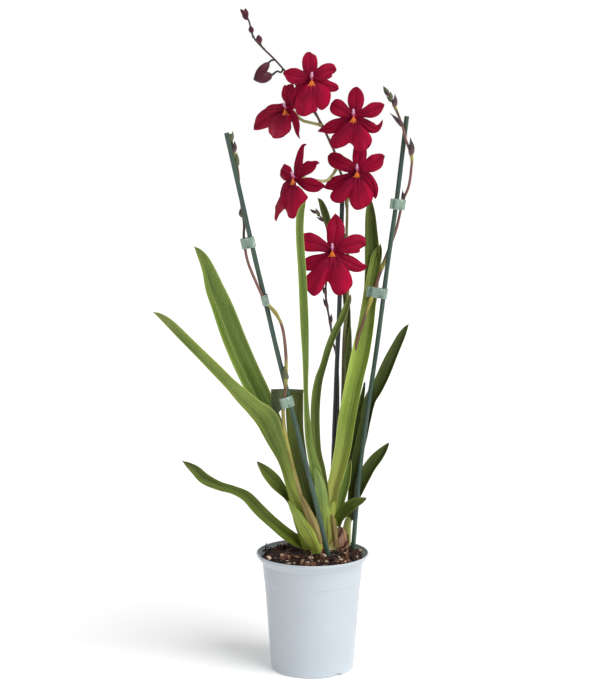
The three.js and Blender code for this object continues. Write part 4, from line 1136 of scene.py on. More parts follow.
@dataclass
class Medium:
    """The bark mix: a rough filling with chips, crumbs and twigs lying on its surface."""

    pot: Pot
    surface: float = 122
    chips: int = 330
    crumbs: int = 460
    twigs: int = 34
    reach: float = 56.5
    pale: float = 0.13
    seed: int = 41
    top_steps: int = 26
    sides: int = 96
    chip_steps: tuple[int, int] = (4, 7)
    twig_steps: int = 12

    def filling(self, pile: Pile) -> None:
        """Fill the pot with bark, its top raised and lowered by waves.

        The top's height is surface + 1.1 times a sum of sines over x and y, flat at the wall.

        Args:
            pile: Where the surface goes.
        """
        wall = np.array(self.pot.inside(0.4, self.surface), float)
        wall = wall[wall[:, 1] < self.surface]
        slope = (wall[-1, 0] - wall[-2, 0]) / (wall[-1, 1] - wall[-2, 1])
        top = wall[-1, 0] + slope * (self.surface - wall[-1, 1])
        inward = np.linspace(1, 0.01, self.top_steps) ** 0.8 * top
        angle = around(self.sides)
        radius = np.concatenate([wall[:, 0], inward])
        level = np.concatenate([wall[:, 1], np.full(len(inward), self.surface)])
        x = radius[:, None] * np.cos(angle)
        y = radius[:, None] * np.sin(angle)
        waves = np.sin(0.31 * x + 1) * np.cos(0.27 * y) + 0.6 * np.sin(0.7 * x + 0.5 * y)
        waves = waves + 0.4 * np.cos(1.1 * y - 0.6 * x)
        loose = np.concatenate([np.zeros(len(wall) + 1), np.ones(len(inward) - 1)])[:, None]
        z = level[:, None] + 1.1 * waves * loose
        pile.rings(beside(x, y, z), np.linspace(0, 1, len(radius)), np.cos(angle), 0.22)

    def scatter(
        self,
        pile: Pile,
        count: int,
        length: tuple[float, float],
        lift: tuple[float, float],
        random: np.random.Generator,
    ) -> None:
        """Lay chips on the filling, each a rough oval block turned its own way.

        A chip's points are those of a rounded block, its corners pushed in and out at random, turned
        by three random angles and moved to a random place in the pot.

        Args:
            pile: Where the chips go.
            count: How many there are.
            length: The least and greatest length.
            lift: The least and greatest height of a chip's middle.
            random: Where the random numbers come from.
        """
        rings, sides = self.chip_steps
        polar = np.linspace(0.25, np.pi - 0.25, rings)
        angle = around(sides)
        bulge = np.sin(polar)[:, None] ** 0.5
        level = np.broadcast_to(-np.cos(polar)[:, None], (rings, sides))
        block = beside(level, bulge * np.cos(angle), bulge * np.sin(angle))
        size = random.uniform(length[0], length[1], count)
        far = (self.reach - 0.62 * size) * np.sqrt(random.random(count))
        azimuth = 2 * np.pi * random.random(count)
        wide, thick = random.uniform(0.45, 0.8, count), random.uniform(0.25, 0.5, count)
        shape = beside(size, size * wide, size * thick) / 2
        lean = random.normal(0, 0.35, (count, 2))
        turn = random.uniform(0, 2 * np.pi, count)
        dry = random.random(count) < self.pale
        tone = np.where(dry, random.uniform(0.75, 1, count), random.beta(1.6, 2.6, count))
        middle = beside(far * np.cos(azimuth), far * np.sin(azimuth), random.uniform(*lift, count))
        rough = 1 + 0.22 * random.normal(size=(count, rings, sides, 1))
        for k in range(count):
            points = block * rough[k] * shape[k]
            a, b, c = lean[k, 0], lean[k, 1], turn[k]
            roll = np.array([[1, 0, 0], [0, np.cos(a), -np.sin(a)], [0, np.sin(a), np.cos(a)]])
            tip = np.array([[np.cos(b), 0, np.sin(b)], [0, 1, 0], [-np.sin(b), 0, np.cos(b)]])
            spin = np.array([[np.cos(c), -np.sin(c), 0], [np.sin(c), np.cos(c), 0], [0, 0, 1]])
            points = points @ (spin @ tip @ roll).T + middle[k]
            pile.rings(points, np.linspace(0, 1, rings), np.cos(angle), tone[k])

    def fibres(self, pile: Pile, random: np.random.Generator) -> None:
        """Lay curled fibres on the chips, each a thin tube along an arc, and stand one twig up.

        Args:
            pile: Where they go.
            random: Where the random numbers come from.
        """
        for _ in range(self.twigs):
            far, azimuth, turn = (self.reach - 9) * np.sqrt(random.random()), *random.uniform(0, 2 * np.pi, 2)
            length, bow = random.uniform(4, 11), random.uniform(-2.5, 2.5)
            t = np.linspace(-1, 1, self.twig_steps)
            ahead, aside = 0.5 * length * t, bow * (1 - t**2)
            x = far * np.cos(azimuth) + ahead * np.cos(turn) - aside * np.sin(turn)
            y = far * np.sin(azimuth) + ahead * np.sin(turn) + aside * np.cos(turn)
            z = random.uniform(123.4, 125) + random.uniform(0, 1.4) * (1 - t**2)
            radius = np.full(self.twig_steps, random.uniform(0.3, 0.6))
            pile.tube(beside(x, y, z), radius, 7, random.uniform(0.7, 1))
        twig = evenly([[-49.5, 8, 117], [-50, 8, 124], [-50.5, 7.5, 129], [-49.5, 7, 134]], 14)
        pile.tube(twig, np.linspace(1.0, 0.5, 14), 8, 0.2)

    def dress(self) -> None:
        """Build the filling, chips, crumbs and fibres, and finish them as bark."""
        random = np.random.default_rng(self.seed)
        pile = Pile()
        self.filling(pile)
        self.scatter(pile, self.chips, (6, 14), (121.2, 123.8), random)
        self.scatter(pile, self.crumbs, (1.6, 5), (122.4, 125), random)
        self.fibres(pile, random)
        settle(pile.piece("bark_mix", 28), "growing_medium", BarkFinish("bark"), "growing_medium")


@dataclass
class Stick:
    """A cane that holds a flower stem up."""

    name: str
    finish: StickFinish
    points: Rows
    radius: float = 2.5
    steps: int = 90
    sides: int = 24

    def dress(self) -> None:
        """Carry a slightly uneven circle along the stick, with a chamfered top."""
        centre = evenly(self.points, self.steps)
        share = np.linspace(0, 1, len(centre))
        radius = self.radius * (1 + 0.02 * np.sin(60 * share) + 0.015 * np.sin(137 * share))
        centre = np.vstack([centre[:1] + 0.01 * tangents(centre)[:1], centre])
        radius = np.concatenate([[0.8 * self.radius], radius])
        tone = (np.arange(len(centre)) == 0).astype(float)
        pile = Pile()
        pile.tube(centre, radius, self.sides, tone)
        settle(pile.piece(f"{self.name}_cane", 40), "sticks", self.finish, self.name)


@dataclass
class Husk:
    """A papery sheath round part of a shoot, open at the top, with a ragged upper edge."""

    turn: tuple[float, float]
    low: float
    high: tuple[float, float]
    gap: float = 0.9
    ragged: float = 1.2
    flare: float = 0.8


@dataclass
class Shoot:
    """A shoot's sheathed foot, or an old pseudobulb."""

    name: str
    slot: str
    finish: ShootFinish
    rings: Rows
    ribs: float = 0.03
    husks: Sequence[Husk] = ()
    steps: tuple[int, int] = (60, 48)
    husk_steps: tuple[int, int] = (26, 40)

    def wrap(self, pile: Pile, husk: Husk) -> None:
        """Add a husk: the shoot's own ovals, moved out by its gap, between its two turns.

        Its upper edge runs from the first height to the second and is made ragged by three sines.

        Args:
            pile: Where it goes.
            husk: The husk.
        """
        known = np.array(self.rings, float)
        place = np.linspace(0, 1, self.husk_steps[1])
        turn = np.radians(blend(husk.turn[0], husk.turn[1], place))
        ragged = np.sin(19 * place + husk.low) + 0.7 * np.sin(43 * place)
        ragged = ragged + 0.4 * np.sin(83 * place + husk.gap)
        top = blend(husk.high[0], husk.high[1], place) + husk.ragged * ragged
        share = np.linspace(0, 1, self.husk_steps[0])[:, None]
        z = husk.low + share * (top - husk.low)
        x, y, wide, deep = (np.interp(z, known[:, 2], known[:, k]) for k in (0, 1, 3, 4))
        off = husk.gap + husk.flare * smooth(share, 0.7, 1.0)
        grid = beside(x + (wide / 2 + off) * np.cos(turn), y + (deep / 2 + off) * np.sin(turn), z)
        pile.blade(grid, np.full(grid.shape[:2], 0.5), share[:, 0], 2 * place - 1, 2)

    def dress(self) -> None:
        """Loft level ovals through the rings, ribbed by a sine round the shoot, and add the husks."""
        share = np.linspace(0, 1, self.steps[0])
        rows = through(self.rings, share)
        angle = around(self.steps[1])
        taper = np.sqrt(np.clip(1 - smooth(share, 0.9, 1.0) ** 2, 0.004, 1))
        swell = 1 + self.ribs * np.sin(9 * angle + 2) + 0.6 * self.ribs * np.sin(17 * angle)
        across = np.maximum(rows[:, 3], 1) / 2 * taper
        deep = np.maximum(rows[:, 4], 1) / 2 * taper
        x = rows[:, 0, None] + across[:, None] * swell * np.cos(angle)
        y = rows[:, 1, None] + deep[:, None] * swell * np.sin(angle)
        z = np.broadcast_to(rows[:, 2, None], x.shape)
        pile = Pile()
        pile.rings(beside(x, y, z), share, np.cos(angle), 0)
        for husk in self.husks:
            self.wrap(pile, husk)
        settle(pile.piece(f"{self.name}_base"), self.slot, self.finish, self.name)


@dataclass
class Strip:
    """A strip of leaf, folded along a crease."""

    rows: Rows
    yaw: tuple[float, float] = (0, 0)
    rise: tuple[float, float] = (0.3, 0.3)
    tone: float = 0
    crease: float = 0
    blunt: bool = False
    wave: float = 0.035
    thick: float = 1
    steps: int = 110
    width: int = 21

    def middle(self) -> tuple[Array, Array, Array]:
        """The middle surface of the strip.

        A point is midrib + side * t * half + normal * fold * v(m). Here t runs from -1 to 1 over the
        width, m is t moved so that it is 0 at the crease, v(m) is a rounded V from -1/2 at the crease
        to 1 at the edges, and both edges also wave a little along the strip.

        Returns:
            The grid of points, the share along the strip and the place across it.
        """
        share = np.linspace(0, 1, self.steps)
        rows = through(self.rows, share)
        across = np.sin(np.linspace(-0.5 * np.pi, 0.5 * np.pi, self.width))
        moved = across - self.crease
        mark = np.where(moved < 0, moved / (1 + self.crease), moved / (1 - self.crease))
        turn = np.radians(blend(self.yaw[0], self.yaw[1], share))
        face = beside(np.sin(turn), -np.cos(turn), np.full_like(turn, 0.3))
        along = tangents(rows[:, :3])
        side = unit(np.cross(along, face))
        normal = np.cross(side, along)
        half = np.maximum(rows[:, 3], 0.6) / 2
        if not self.blunt:
            half = half * (1 - 0.75 * smooth(share, 0.965, 1.0))
        fold = half * blend(self.rise[0], self.rise[1], np.minimum(1, 3 * share))
        rounding = 0.05
        bend = (np.sqrt(mark**2 + rounding) - rounding**0.5) / ((1 + rounding) ** 0.5 - rounding**0.5)
        height = fold[:, None] * (1.5 * bend - 0.5)
        phase = float(len(self.rows) + self.rows[0][0])
        ripple = np.sin(21 * share + phase) + 0.6 * np.sin(37 * share - phase)
        height = height + self.wave * half[:, None] * ripple[:, None] * across * np.abs(across) ** 1.5
        aside = side[:, None] * (half[:, None] * across)[..., None]
        grid = rows[:, None, :3] + aside + normal[:, None] * height[..., None]
        return grid, share, mark

    def add(self, pile: Pile) -> None:
        """Thicken the middle surface, most along the crease.

        Args:
            pile: Where the strip goes.
        """
        grid, share, mark = self.middle()
        keel = 0.35 + 0.55 * (1 - np.abs(mark)) + 0.7 * np.exp(-((mark / 0.12) ** 2))
        thickness = self.thick * keel * (1 - 0.5 * smooth(share, 0.9, 1.0))[:, None]
        pile.blade(grid, thickness, share, mark, self.tone)


@dataclass
class Leaf:
    """A leaf: its blade, with the sheaths that wrap its foot or the flap of a fold."""

    name: str
    finish: LeafFinish
    strips: Sequence[Strip]

    def dress(self) -> None:
        """Build all its strips as one piece and finish it as a leaf."""
        pile = Pile()
        for strip in self.strips:
            strip.add(pile)
        settle(pile.piece(f"{self.name}_blade"), "leaves", self.finish, self.name)


@dataclass
class Bloom:
    """One bloom: five tepals, a lobed lip, the core behind them and the column.

    Each ridge of the callus is its place to the right and above, its width, length and depth.
    """

    number: int
    centre: tuple[float, float, float]
    facing: tuple[float, float, float]
    tepals: Sequence[Rows]
    lip: Rows
    petals: PetalFinish
    waxy: ColumnFinish
    core: float = 4.2
    foot: float = 5
    curl: float = -0.16
    forward: float = 5.5
    fall: float = -4
    claw: tuple[float, float] = (2.6, 3.5)
    steps: tuple[int, int] = (44, 17)
    lip_steps: tuple[int, int] = (30, 90)
    ridges: ClassVar = (
        (0, -2.6, 1.0, 2.9, 1.5), (-1.5, -4.0, 0.95, 2.4, 1.2), (1.5, -4.0, 0.95, 2.4, 1.2),
        (-2.9, -5.7, 1.1, 1.0, 0.8), (2.9, -5.7, 1.1, 1.0, 0.8), (0, -6.0, 0.9, 1.3, 1.0),
    )

    def out(self) -> Array:
        """The unit direction in which the bloom faces."""
        return unit(np.array(self.facing, float))

    def directions(self) -> tuple[Array, Array, Array]:
        """The bloom's own out, up and right."""
        out = self.out()
        up = unit(np.array([0.0, 0.0, 1.0]) - out[2] * out)
        return out, up, np.cross(up, out)

    def seen(self, x: Array, z: Array, push: Array) -> Array:
        """Points from where they lie as seen from the front.

        A point lies at x and z from the centre, as deep as the bloom's plane there, and then push
        further out along the facing.

        Args:
            x: How far right of the centre.
            z: How far above the centre.
            push: How far out of the plane.

        Returns:
            The points.
        """
        out = self.out()
        depth = -(out[0] * x + out[2] * z) / out[1]
        flat = beside(x, depth, z)
        return np.array(self.centre) + flat + np.asarray(push)[..., None] * out

    def tepal(self, pile: Pile, rows: Rows, number: int) -> None:
        """Add one sepal or petal.

        Its middle line runs through its rows, and its edges bend back by curl * half * t squared, with
        a shallow groove along the middle and a small ruffle at the edges.

        Args:
            pile: Where it goes.
            rows: Its rows, as x, z, width and push.
            number: Its number, which sets how its edges ruffle.
        """
        known = np.array(rows, float)
        line = self.seen(known[:, 0], known[:, 1], known[:, 3])
        foot = np.array(self.centre) - 1.2 * self.out()
        line = np.hstack([np.vstack([foot, line]), np.concatenate([[self.foot], known[:, 2]])[:, None]])
        share = np.sin(0.5 * np.pi * np.linspace(0, 1, self.steps[0])) ** 1.1
        points = through(line, share)
        along = tangents(points[:, :3])
        side = unit(np.cross(self.out(), along))
        half = np.maximum(points[:, 3], 0.5) / 2 * np.sqrt(1 - 0.97 * smooth(share, 0.9, 1.0) ** 2)
        across = np.sin(np.linspace(-0.5 * np.pi, 0.5 * np.pi, self.steps[1]))
        bend = self.curl * across**2 - 0.16 * np.exp(-((across / 0.2) ** 2))
        phase = 2.1 * number + self.number
        ruffle = 0.11 * np.sin(11 * share + phase) + 0.05 * np.sin(23 * share - phase)
        height = half[:, None] * (bend + ruffle[:, None] * across * np.abs(across) ** 2)
        aside = side[:, None] * (half[:, None] * across)[..., None]
        grid = points[:, None, :3] + aside + self.out() * height[..., None]
        thickness = blend(0.85, 0.3, np.abs(across) ** 2) * np.ones((len(share), 1))
        pile.blade(grid, thickness, share, across, 0)

    def lip_blade(self, pile: Pile) -> None:
        """Add the lip.

        A point is the claw's point going over into the rim's point as its share s goes from 0 to 1.
        It stands out by 1.5 + forward * sin(pi * s to the power 0.7) + fall * s squared, with a crease
        down the middle and a ruffle that grows towards the rim.

        Args:
            pile: Where it goes.
        """
        rim = through(self.lip, np.linspace(0, 1, self.lip_steps[1]))
        place = np.linspace(-1, 1, len(rim))
        share = np.linspace(0, 1, self.lip_steps[0])[:, None]
        x = self.claw[0] * place * (1 - share) + rim[:, 0] * share
        z = -self.claw[1] * (1 - share) + rim[:, 1] * share
        push = 1.5 + self.forward * np.sin(np.pi * share**0.7) + self.fall * share**2
        crease = -0.8 * np.exp(-((x / 3.5) ** 2)) * smooth(share, 0.15, 0.4) * (1 - 0.7 * share)
        ruffle = share**4 * (1.1 * np.sin(17 * place + self.number) + 0.5 * np.sin(31 * place - self.number))
        ridge = 0.9 * np.exp(-(((np.abs(x) - 1.8) / 0.9) ** 2)) * (1 - smooth(share, 0.2, 0.5))
        grid = self.seen(x, z, push + crease + ruffle + ridge)
        thickness = blend(0.9, 0.35, share**2) * np.ones(len(rim))
        pile.blade(grid, thickness, share[:, 0], place, 2)

    def column(self) -> None:
        """Build the column with its hooded cap, and the callus with its ridges."""
        out, up, side = self.directions()
        centre = np.array(self.centre)

        def place(forward: float, rise: float, right: float = 0) -> Array:
            """A point in front of, above and right of the bloom's centre."""
            return centre + out * forward + up * rise + side * right

        pile = Pile()
        line = evenly([place(1.6, -0.4), place(4.2, 2.8), place(5.5, 5.8)], 22)
        share = np.linspace(0, 1, 22)
        pile.tube(line, 1.15 * (0.95 + 0.25 * np.sin(np.pi * share)), 18, 0)
        axes = np.array([side * 1.3, unit(np.cross(side, up + 0.5 * out)) * -1.2, unit(up + 0.5 * out) * 1.6])
        pile.ball(place(5.9, 6.1), axes, (12, 18), 1)
        for right in (-1, 1):
            wing = np.array([side * 0.6, out * 0.5, up * 1.3 + side * right * 0.3])
            pile.ball(place(4.8, 3.2, 1.1 * right), wing, (9, 12), 0)
        for right, rise, width, length, depth in self.ridges:
            long = unit(up - 0.14 * right * side)
            axes = np.array([side * width, out * depth, -long * length])
            pile.ball(place(5.4, rise, right), axes, (11, 14), 2)
        settle(pile.piece(f"bloom_{self.number}_column"), "columns", self.waxy, f"column_{self.number}")

    def dress(self) -> None:
        """Build the tepals, lip, core and column, and finish them."""
        pile = Pile()
        for number, rows in enumerate(self.tepals):
            self.tepal(pile, rows, number)
        self.lip_blade(pile)
        out, up, side = self.directions()
        axes = np.array([side * 0.8 * self.core, up * 0.8 * self.core, -out * self.core])
        pile.ball(np.array(self.centre) - 0.8 * out, axes, (14, 22), 4)
        settle(pile.piece(f"bloom_{self.number}_petals"), "petals", self.petals, f"bloom_{self.number}")
        self.column()


@dataclass
class Bract:
    """A pointed scale that clasps a flower stem."""

    height: float
    side: tuple[float, float, float]
    length: float
    lean: float
    belly: float = 0.6
    tone: float = 2

    def add(self, pile: Pile, stem: Array, radius: Array) -> None:
        """Add the bract to its stem.

        A point is foot + up * length * v + out * lean * length * v to the power 1.7 + r(v) * (out cos
        a + side sin a). The angle a spans less of the stem towards the tip, and r(v), wider by the
        belly halfway up, ends there.

        Args:
            pile: Where it goes.
            stem: The points of the stem.
            radius: The stem's radius at each point.
        """
        at = at_height(stem, self.height)
        foot = stem[at]
        up = tangents(stem)[at]
        out = np.array(self.side, float)
        out = unit(out - np.dot(out, up) * up)
        side = np.cross(up, out)
        v = np.linspace(0, 1, 22)[:, None]
        spread = np.linspace(-1, 1, 13)
        angle = spread * np.radians(120) * (1 - 0.35 * v)
        reach = (radius[at] + 0.5) * (1 + self.belly * np.sin(np.pi * v**0.8)) * (1 - 0.96 * v**2.4)
        rise = self.length * v * np.ones_like(spread)
        lean = self.lean * self.length * v**1.7 + (radius[at] + 0.2) * 0.55 * v
        outward = lean + reach * np.cos(angle)
        aside = side * (reach * np.sin(angle))[..., None]
        grid = foot + up * rise[..., None] + out * outward[..., None] + aside
        pile.blade(grid[:, ::-1], blend(0.6, 0.3, v) * np.ones_like(spread), v[:, 0], spread, self.tone)


@dataclass
class Stalk:
    """The stalk of a bloom or bud, from a height on its stem by way of some points to its end."""

    height: float
    via: Rows
    end: tuple[float, float, float]
    swell: float = 0.5
    radius: float = 1.25
    tone: float = 4

    def add(self, pile: Pile, stem: Array) -> None:
        """Add the stalk to its stem, thicker where it leaves it and where it meets the bloom.

        Args:
            pile: Where it goes.
            stem: The points of the stem.
        """
        start = stem[at_height(stem, self.height)]
        line = evenly([start, *self.via, self.end], 36)
        share = np.linspace(0, 1, len(line))
        size = self.radius * (1 + 0.5 * np.exp(-((share / 0.08) ** 2)) + self.swell * smooth(share, 0.6, 1.0))
        pile.tube(line, size, 12, self.tone)


@dataclass
class Spike:
    """A flower stem with its joints, bracts and stalks."""

    name: str
    finish: StemFinish
    radius: tuple[float, float]
    points: Rows
    joints: Sequence[float]
    bracts: Sequence[Bract]
    stalks: Sequence[Stalk] = ()
    steps: int = 320
    sides: int = 16

    def line(self) -> Array:
        """The points of the stem at equal distances."""
        return evenly(self.points, self.steps)

    def dress(self) -> None:
        """Carry a circle along the stem, swollen at its joints, and add what grows on it."""
        stem = self.line()
        share = np.linspace(0, 1, len(stem))
        off = (stem[:, 2:3] - np.array(self.joints)) / 4.5
        joint = np.exp(-(off**2)).max(axis=1)
        swell = 1 + 0.42 * joint + 0.015 * np.sin(90 * share)
        radius = blend(self.radius[0], self.radius[1], share) * swell
        pile = Pile()
        pile.tube(stem, radius, self.sides, 0)
        height = stem[:, 2]
        pile.marks[0][:, 0] = np.repeat((height - height[0]) / (height[-1] - height[0]), self.sides)
        for bract in self.bracts:
            bract.add(pile, stem, radius)
        for stalk in self.stalks:
            stalk.add(pile, stem)
        settle(pile.piece(f"{self.name}_stem"), "flower_stems", self.finish, self.name)


@dataclass
class Bud:
    """A closed bud, or a few in a cluster, each from its foot to its tip."""

    name: str
    shapes: Sequence[tuple[Sequence[float], Sequence[float], float]]
    finish: BudFinish
    steps: tuple[int, int] = (34, 36)
    outline: ClassVar = (
        (0.3, 0.0), (0.62, 0.08), (0.88, 0.25), (1.0, 0.45), (0.86, 0.66), (0.5, 0.85), (0.06, 1.0)
    )

    def dress(self) -> None:
        """Turn the outline round the line from foot to tip, lobed where the sepals meet."""
        pile = Pile()
        for foot, tip, width in self.shapes:
            start = np.array(foot, float)
            reach = np.array(tip, float) - start
            profile = through(self.outline, np.linspace(0, 1, self.steps[0]))
            axis = unit(reach)
            side = unit(np.cross(axis, [0.0, 1.0, 0.0]))
            up = np.cross(axis, side)
            angle = around(self.steps[1])
            lobe = 1 + 0.05 * np.cos(3 * angle) + 0.02 * np.cos(9 * angle)
            radius = profile[:, :1] * width / 2 * lobe
            ring = side * np.cos(angle)[:, None] + up * np.sin(angle)[:, None]
            grid = start + reach * profile[:, 1][:, None, None] + radius[..., None] * ring
            pile.rings(grid, profile[:, 1], np.cos(angle), 0)
        settle(pile.piece(f"{self.name}_closed"), "buds", self.finish, self.name)


@dataclass
class Tie:
    """A ribbon tie: a flat loop round a stick and the stem beside it, with a tail at one end."""

    name: str
    stick: Stick
    spike: Spike
    height: float
    near_stem: bool
    tail: float
    finish: RibbonFinish
    tall: float = 11
    thick: float = 0.8
    slack: float = 0.7
    stem_radius: float = 3
    arc: int = 30
    steps: int = 120
    tail_steps: int = 12

    def section(self) -> Array:
        """The ribbon's own section, a flat oval of its thickness and height with blunt ends."""
        angle = around(28)
        across = np.sign(np.cos(angle)) * np.abs(np.cos(angle)) ** 0.4
        up = np.sign(np.sin(angle)) * np.abs(np.sin(angle)) ** 0.3
        return beside(across * self.thick / 2, up * self.tall / 2)

    def dress(self) -> None:
        """Carry the section round the loop, which is two arcs and the two lines that touch both."""
        stick = evenly(self.stick.points, 400)
        stem = self.spike.line()
        at = at_height(stick, self.height)
        beside_stem = stem[at_height(stem, self.height)], self.stem_radius
        ends = [beside_stem, (stick[at], self.stick.radius + self.slack)]
        (near, near_radius), (far, far_radius) = ends if self.near_stem else ends[::-1]
        axis = -tangents(stick)[at]
        apart = near - far
        apart = apart - np.dot(apart, axis) * axis
        half = np.linalg.norm(apart) / 2
        touch = np.arccos((far_radius - near_radius) / (2 * half))
        arcs = (
            (half, near_radius + self.thick / 2, np.linspace(-touch, touch, self.arc)),
            (-half, far_radius + self.thick / 2, np.linspace(touch, 2 * np.pi - touch, self.arc)),
        )
        bends = [beside(off + radius * np.cos(a), radius * np.sin(a)) for off, radius, a in arcs]
        loop = np.vstack([*bends, bends[0][:1]])
        length = np.concatenate([[0], np.cumsum(np.linalg.norm(np.diff(loop, axis=0), axis=1))])
        wanted = np.linspace(0, length[-1], self.steps, endpoint=False)
        loop = np.stack([np.interp(wanted, length, loop[:, k]) for k in (0, 1)], axis=1)
        forward = unit(np.roll(loop, -1, axis=0) - np.roll(loop, 1, axis=0))
        outward = np.stack([forward[:, 1], -forward[:, 0]], axis=1)
        x_axis = unit(apart)
        y_axis = np.cross(axis, x_axis)
        middle = (near + far) / 2
        section = self.section()
        flat = loop[:, None] + section[:, 0, None] * outward[:, None]
        pucker = 1 + 0.03 * np.sin(0.9 * wanted)[:, None]
        rise = (section[:, 1] * pucker)[..., None] * axis
        grid = middle + flat[..., :1] * x_axis + flat[..., 1:] * y_axis + rise
        grid = np.concatenate([grid, grid[:1]])
        pile = Pile()
        across = section[:, 1] / self.tall * 2
        pile.rings(grid[:, ::-1], np.linspace(0, 1, len(grid)), across[::-1], 0)
        if self.tail > 0:
            reach = half + near_radius + np.linspace(0.2, self.thick + self.tail, self.tail_steps)
            bend = 0.5 * np.sin(np.linspace(0, 2.4, self.tail_steps))
            centre = middle + reach[:, None] * x_axis + bend[:, None] * y_axis
            grid = centre[:, None] + section[:, :1] * 1.5 * y_axis + section[:, 1:] * axis
            pile.rings(grid, np.linspace(0, 1, self.tail_steps), across, 0)
        settle(pile.piece(f"{self.name}_ribbon", 60), "ribbon_ties", self.finish, self.name)


@dataclass
class Studio:
    """A pale floor, white surroundings, soft light from the front right, and the camera."""

    eye: tuple[float, float, float] = (-13.4, -1700, 566)
    target: tuple[float, float, float] = (-13.4, 0, 353)
    lens: float = 85.7
    sensor: float = 36
    spread: float = 20000
    ambient: float = 0.33

    def floor(self) -> None:
        """Lay a round floor, flat and 20 mm thick."""
        angle = around(96)
        radius = np.array([0.01, 0.25, 1, 1, 0.25, 0.01])[:, None] * self.spread
        level = np.array([-0.2, -0.2, -0.2, -20, -20, -20])[:, None] * np.ones_like(angle)
        grid = beside(radius * np.cos(angle), radius * np.sin(angle), level)
        pile = Pile()
        pile.rings(grid[::-1], np.linspace(0, 1, len(grid)), np.cos(angle), 0)
        piece = pile.piece("studio_floor")
        piece.data.materials.append(FloorFinish("studio_white").material())

    def lamp(self, name: str, place: tuple[float, float, float], softness: float, power: float) -> None:
        """Set a far light that shines evenly over the whole floor.

        Args:
            name: The name of the light.
            place: The direction that it comes from.
            softness: The angle that it seems to fill, in degrees.
            power: Its strength.
        """
        light = bpy.data.lights.new(name, "SUN")
        light.angle = float(np.radians(softness))
        light.energy = power
        hung = bpy.data.objects.new(name, light)
        hung.rotation_euler = (-Vector(place)).to_track_quat("-Z", "Y").to_euler()
        bpy.context.scene.collection.objects.link(hung)

    def air(self) -> None:
        """Surround the studio with white that lights it softly."""
        world = bpy.data.worlds.new("studio_air")
        world.use_nodes = True
        back = world.node_tree.nodes["Background"]
        graph = Graph(world.node_tree)
        seen = graph.add("ShaderNodeLightPath").outputs["Is Camera Ray"]
        graph.put(back.inputs["Color"], "#ffffff")
        graph.put(back.inputs["Strength"], graph.math("MULTIPLY_ADD", seen, 1.0 - self.ambient, self.ambient))
        bpy.context.scene.world = world

    def camera(self) -> None:
        """Set the camera at the photograph's angle, its sensor fitted to the picture's height."""
        lens = bpy.data.cameras.new("camera")
        lens.sensor_fit = "VERTICAL"
        lens.sensor_height = self.sensor
        lens.lens = self.lens
        lens.clip_start = 0.05
        held = bpy.data.objects.new("camera", lens)
        held.location = Vector(self.eye) * METRES
        held.rotation_euler = (Vector(self.target) - Vector(self.eye)).to_track_quat("-Z", "Y").to_euler()
        bpy.context.scene.collection.objects.link(held)
        bpy.context.scene.camera = held

    def dress(self) -> None:
        """Put up the floor, the lights, the white surroundings and the camera."""
        self.floor()
        self.lamp("key_light", (1.55, -1.2, 1.9), 46, 2.85)
        self.lamp("fill_light", (0.3, -1.7, 0.5), 70, 0.3)
        self.air()
        bpy.context.scene.view_settings.view_transform = "Standard"
        self.camera()


# The lists of rows, measured and rounded to half a millimetre

# Each point of a stick or stem is x, y and z.

STICKS: dict[str, Rows] = {
    "stick_front": [
        [-88, -38, 571], [-62, -34, 454], [-50, -32, 403], [-38, -29, 350], [-24.5, -26, 295],
        [-10.5, -25, 239.5], [2, -22, 190.5], [18, -15, 120], [36, -7, 41],
    ],
    "stick_middle": [
        [32, 37, 520], [29, 36, 393.5], [27, 37, 339], [23.5, 39, 240.5], [20, 42, 122.5], [16, 38, 44],
    ],
    "stick_right": [
        [98.5, 19, 588.5], [88.5, 19, 501], [80, 19, 437.5], [69.5, 19, 352], [57.5, 19, 266],
        [50, 19, 200.5], [44.5, 19, 131], [38, 19, 54],
    ],
}

SPIKES: dict[str, Rows] = {
    "spike_left": [
        [-7, 0, 166], [-15, -10, 198], [-23, -19, 231], [-29.5, -25, 263], [-31, -27, 286.5],
        [-29, -29, 302.5], [-28, -31, 318.5], [-28, -32, 343], [-31, -36, 369.5], [-37.5, -37, 385.5],
        [-50, -36, 401], [-59.5, -35, 421], [-67.5, -33, 441.5], [-71, -30, 464], [-71, -29, 480.5],
        [-75.5, -30, 511], [-76.5, -33, 531.5], [-82.5, -36, 561], [-84.5, -37, 570],
    ],
    "spike_right": [
        [27.5, 22, 164.5], [31, 16, 201], [33.5, 15, 250], [38.5, 13, 304.5], [44.5, 12.5, 340],
        [51.5, 12.5, 365.5], [60, 17, 390], [67, 23, 408.5], [73.5, 27, 428], [81.5, 28, 449.5],
        [89, 26, 471], [95, 21, 499], [101, 18, 515.5], [103.5, 16, 534.5], [103.5, 15, 547],
        [97.5, 13, 563.5], [92.5, 13.5, 581.5], [84, 15, 601.5], [77.5, 15, 614],
    ],
    "spike_main": [
        [20.5, 31, 148], [28, 34, 191.5], [31, 37, 240.5], [33, 38, 295.5], [34, 38, 350],
        [37.5, 37, 393.5], [38, 36.5, 431], [36.5, 34, 463], [36.5, 31, 493], [33, 26, 518.5],
        [26.5, 20, 537.5], [22, 16, 553.5], [15, 12, 568], [9, 8, 579.5], [1.5, 5, 593], [-10.5, 3, 610],
        [-20.5, 1, 624.5], [-29.5, -1, 635], [-39.5, -3, 646], [-49.5, -5, 655.5], [-59.5, -7, 666],
        [-63, -8, 673.5], [-65, -9, 682.5], [-68, -9, 689.5],
    ],
    "spike_thin": [
        [25, 35, 152.5], [27.5, 42, 206.5], [28, 43, 261.5], [28, 43, 305.5], [25.5, 42, 334],
        [21.5, 39, 349.5], [19.5, 37, 366], [16, 35, 385], [14, 35, 402], [15.5, 34, 420.5],
        [16.5, 33, 442], [16.5, 31, 460], [14, 29, 474], [9, 27, 482], [3, 26, 488],
    ],
}

# Each ring of a shoot is the place of its middle, its width and its depth.

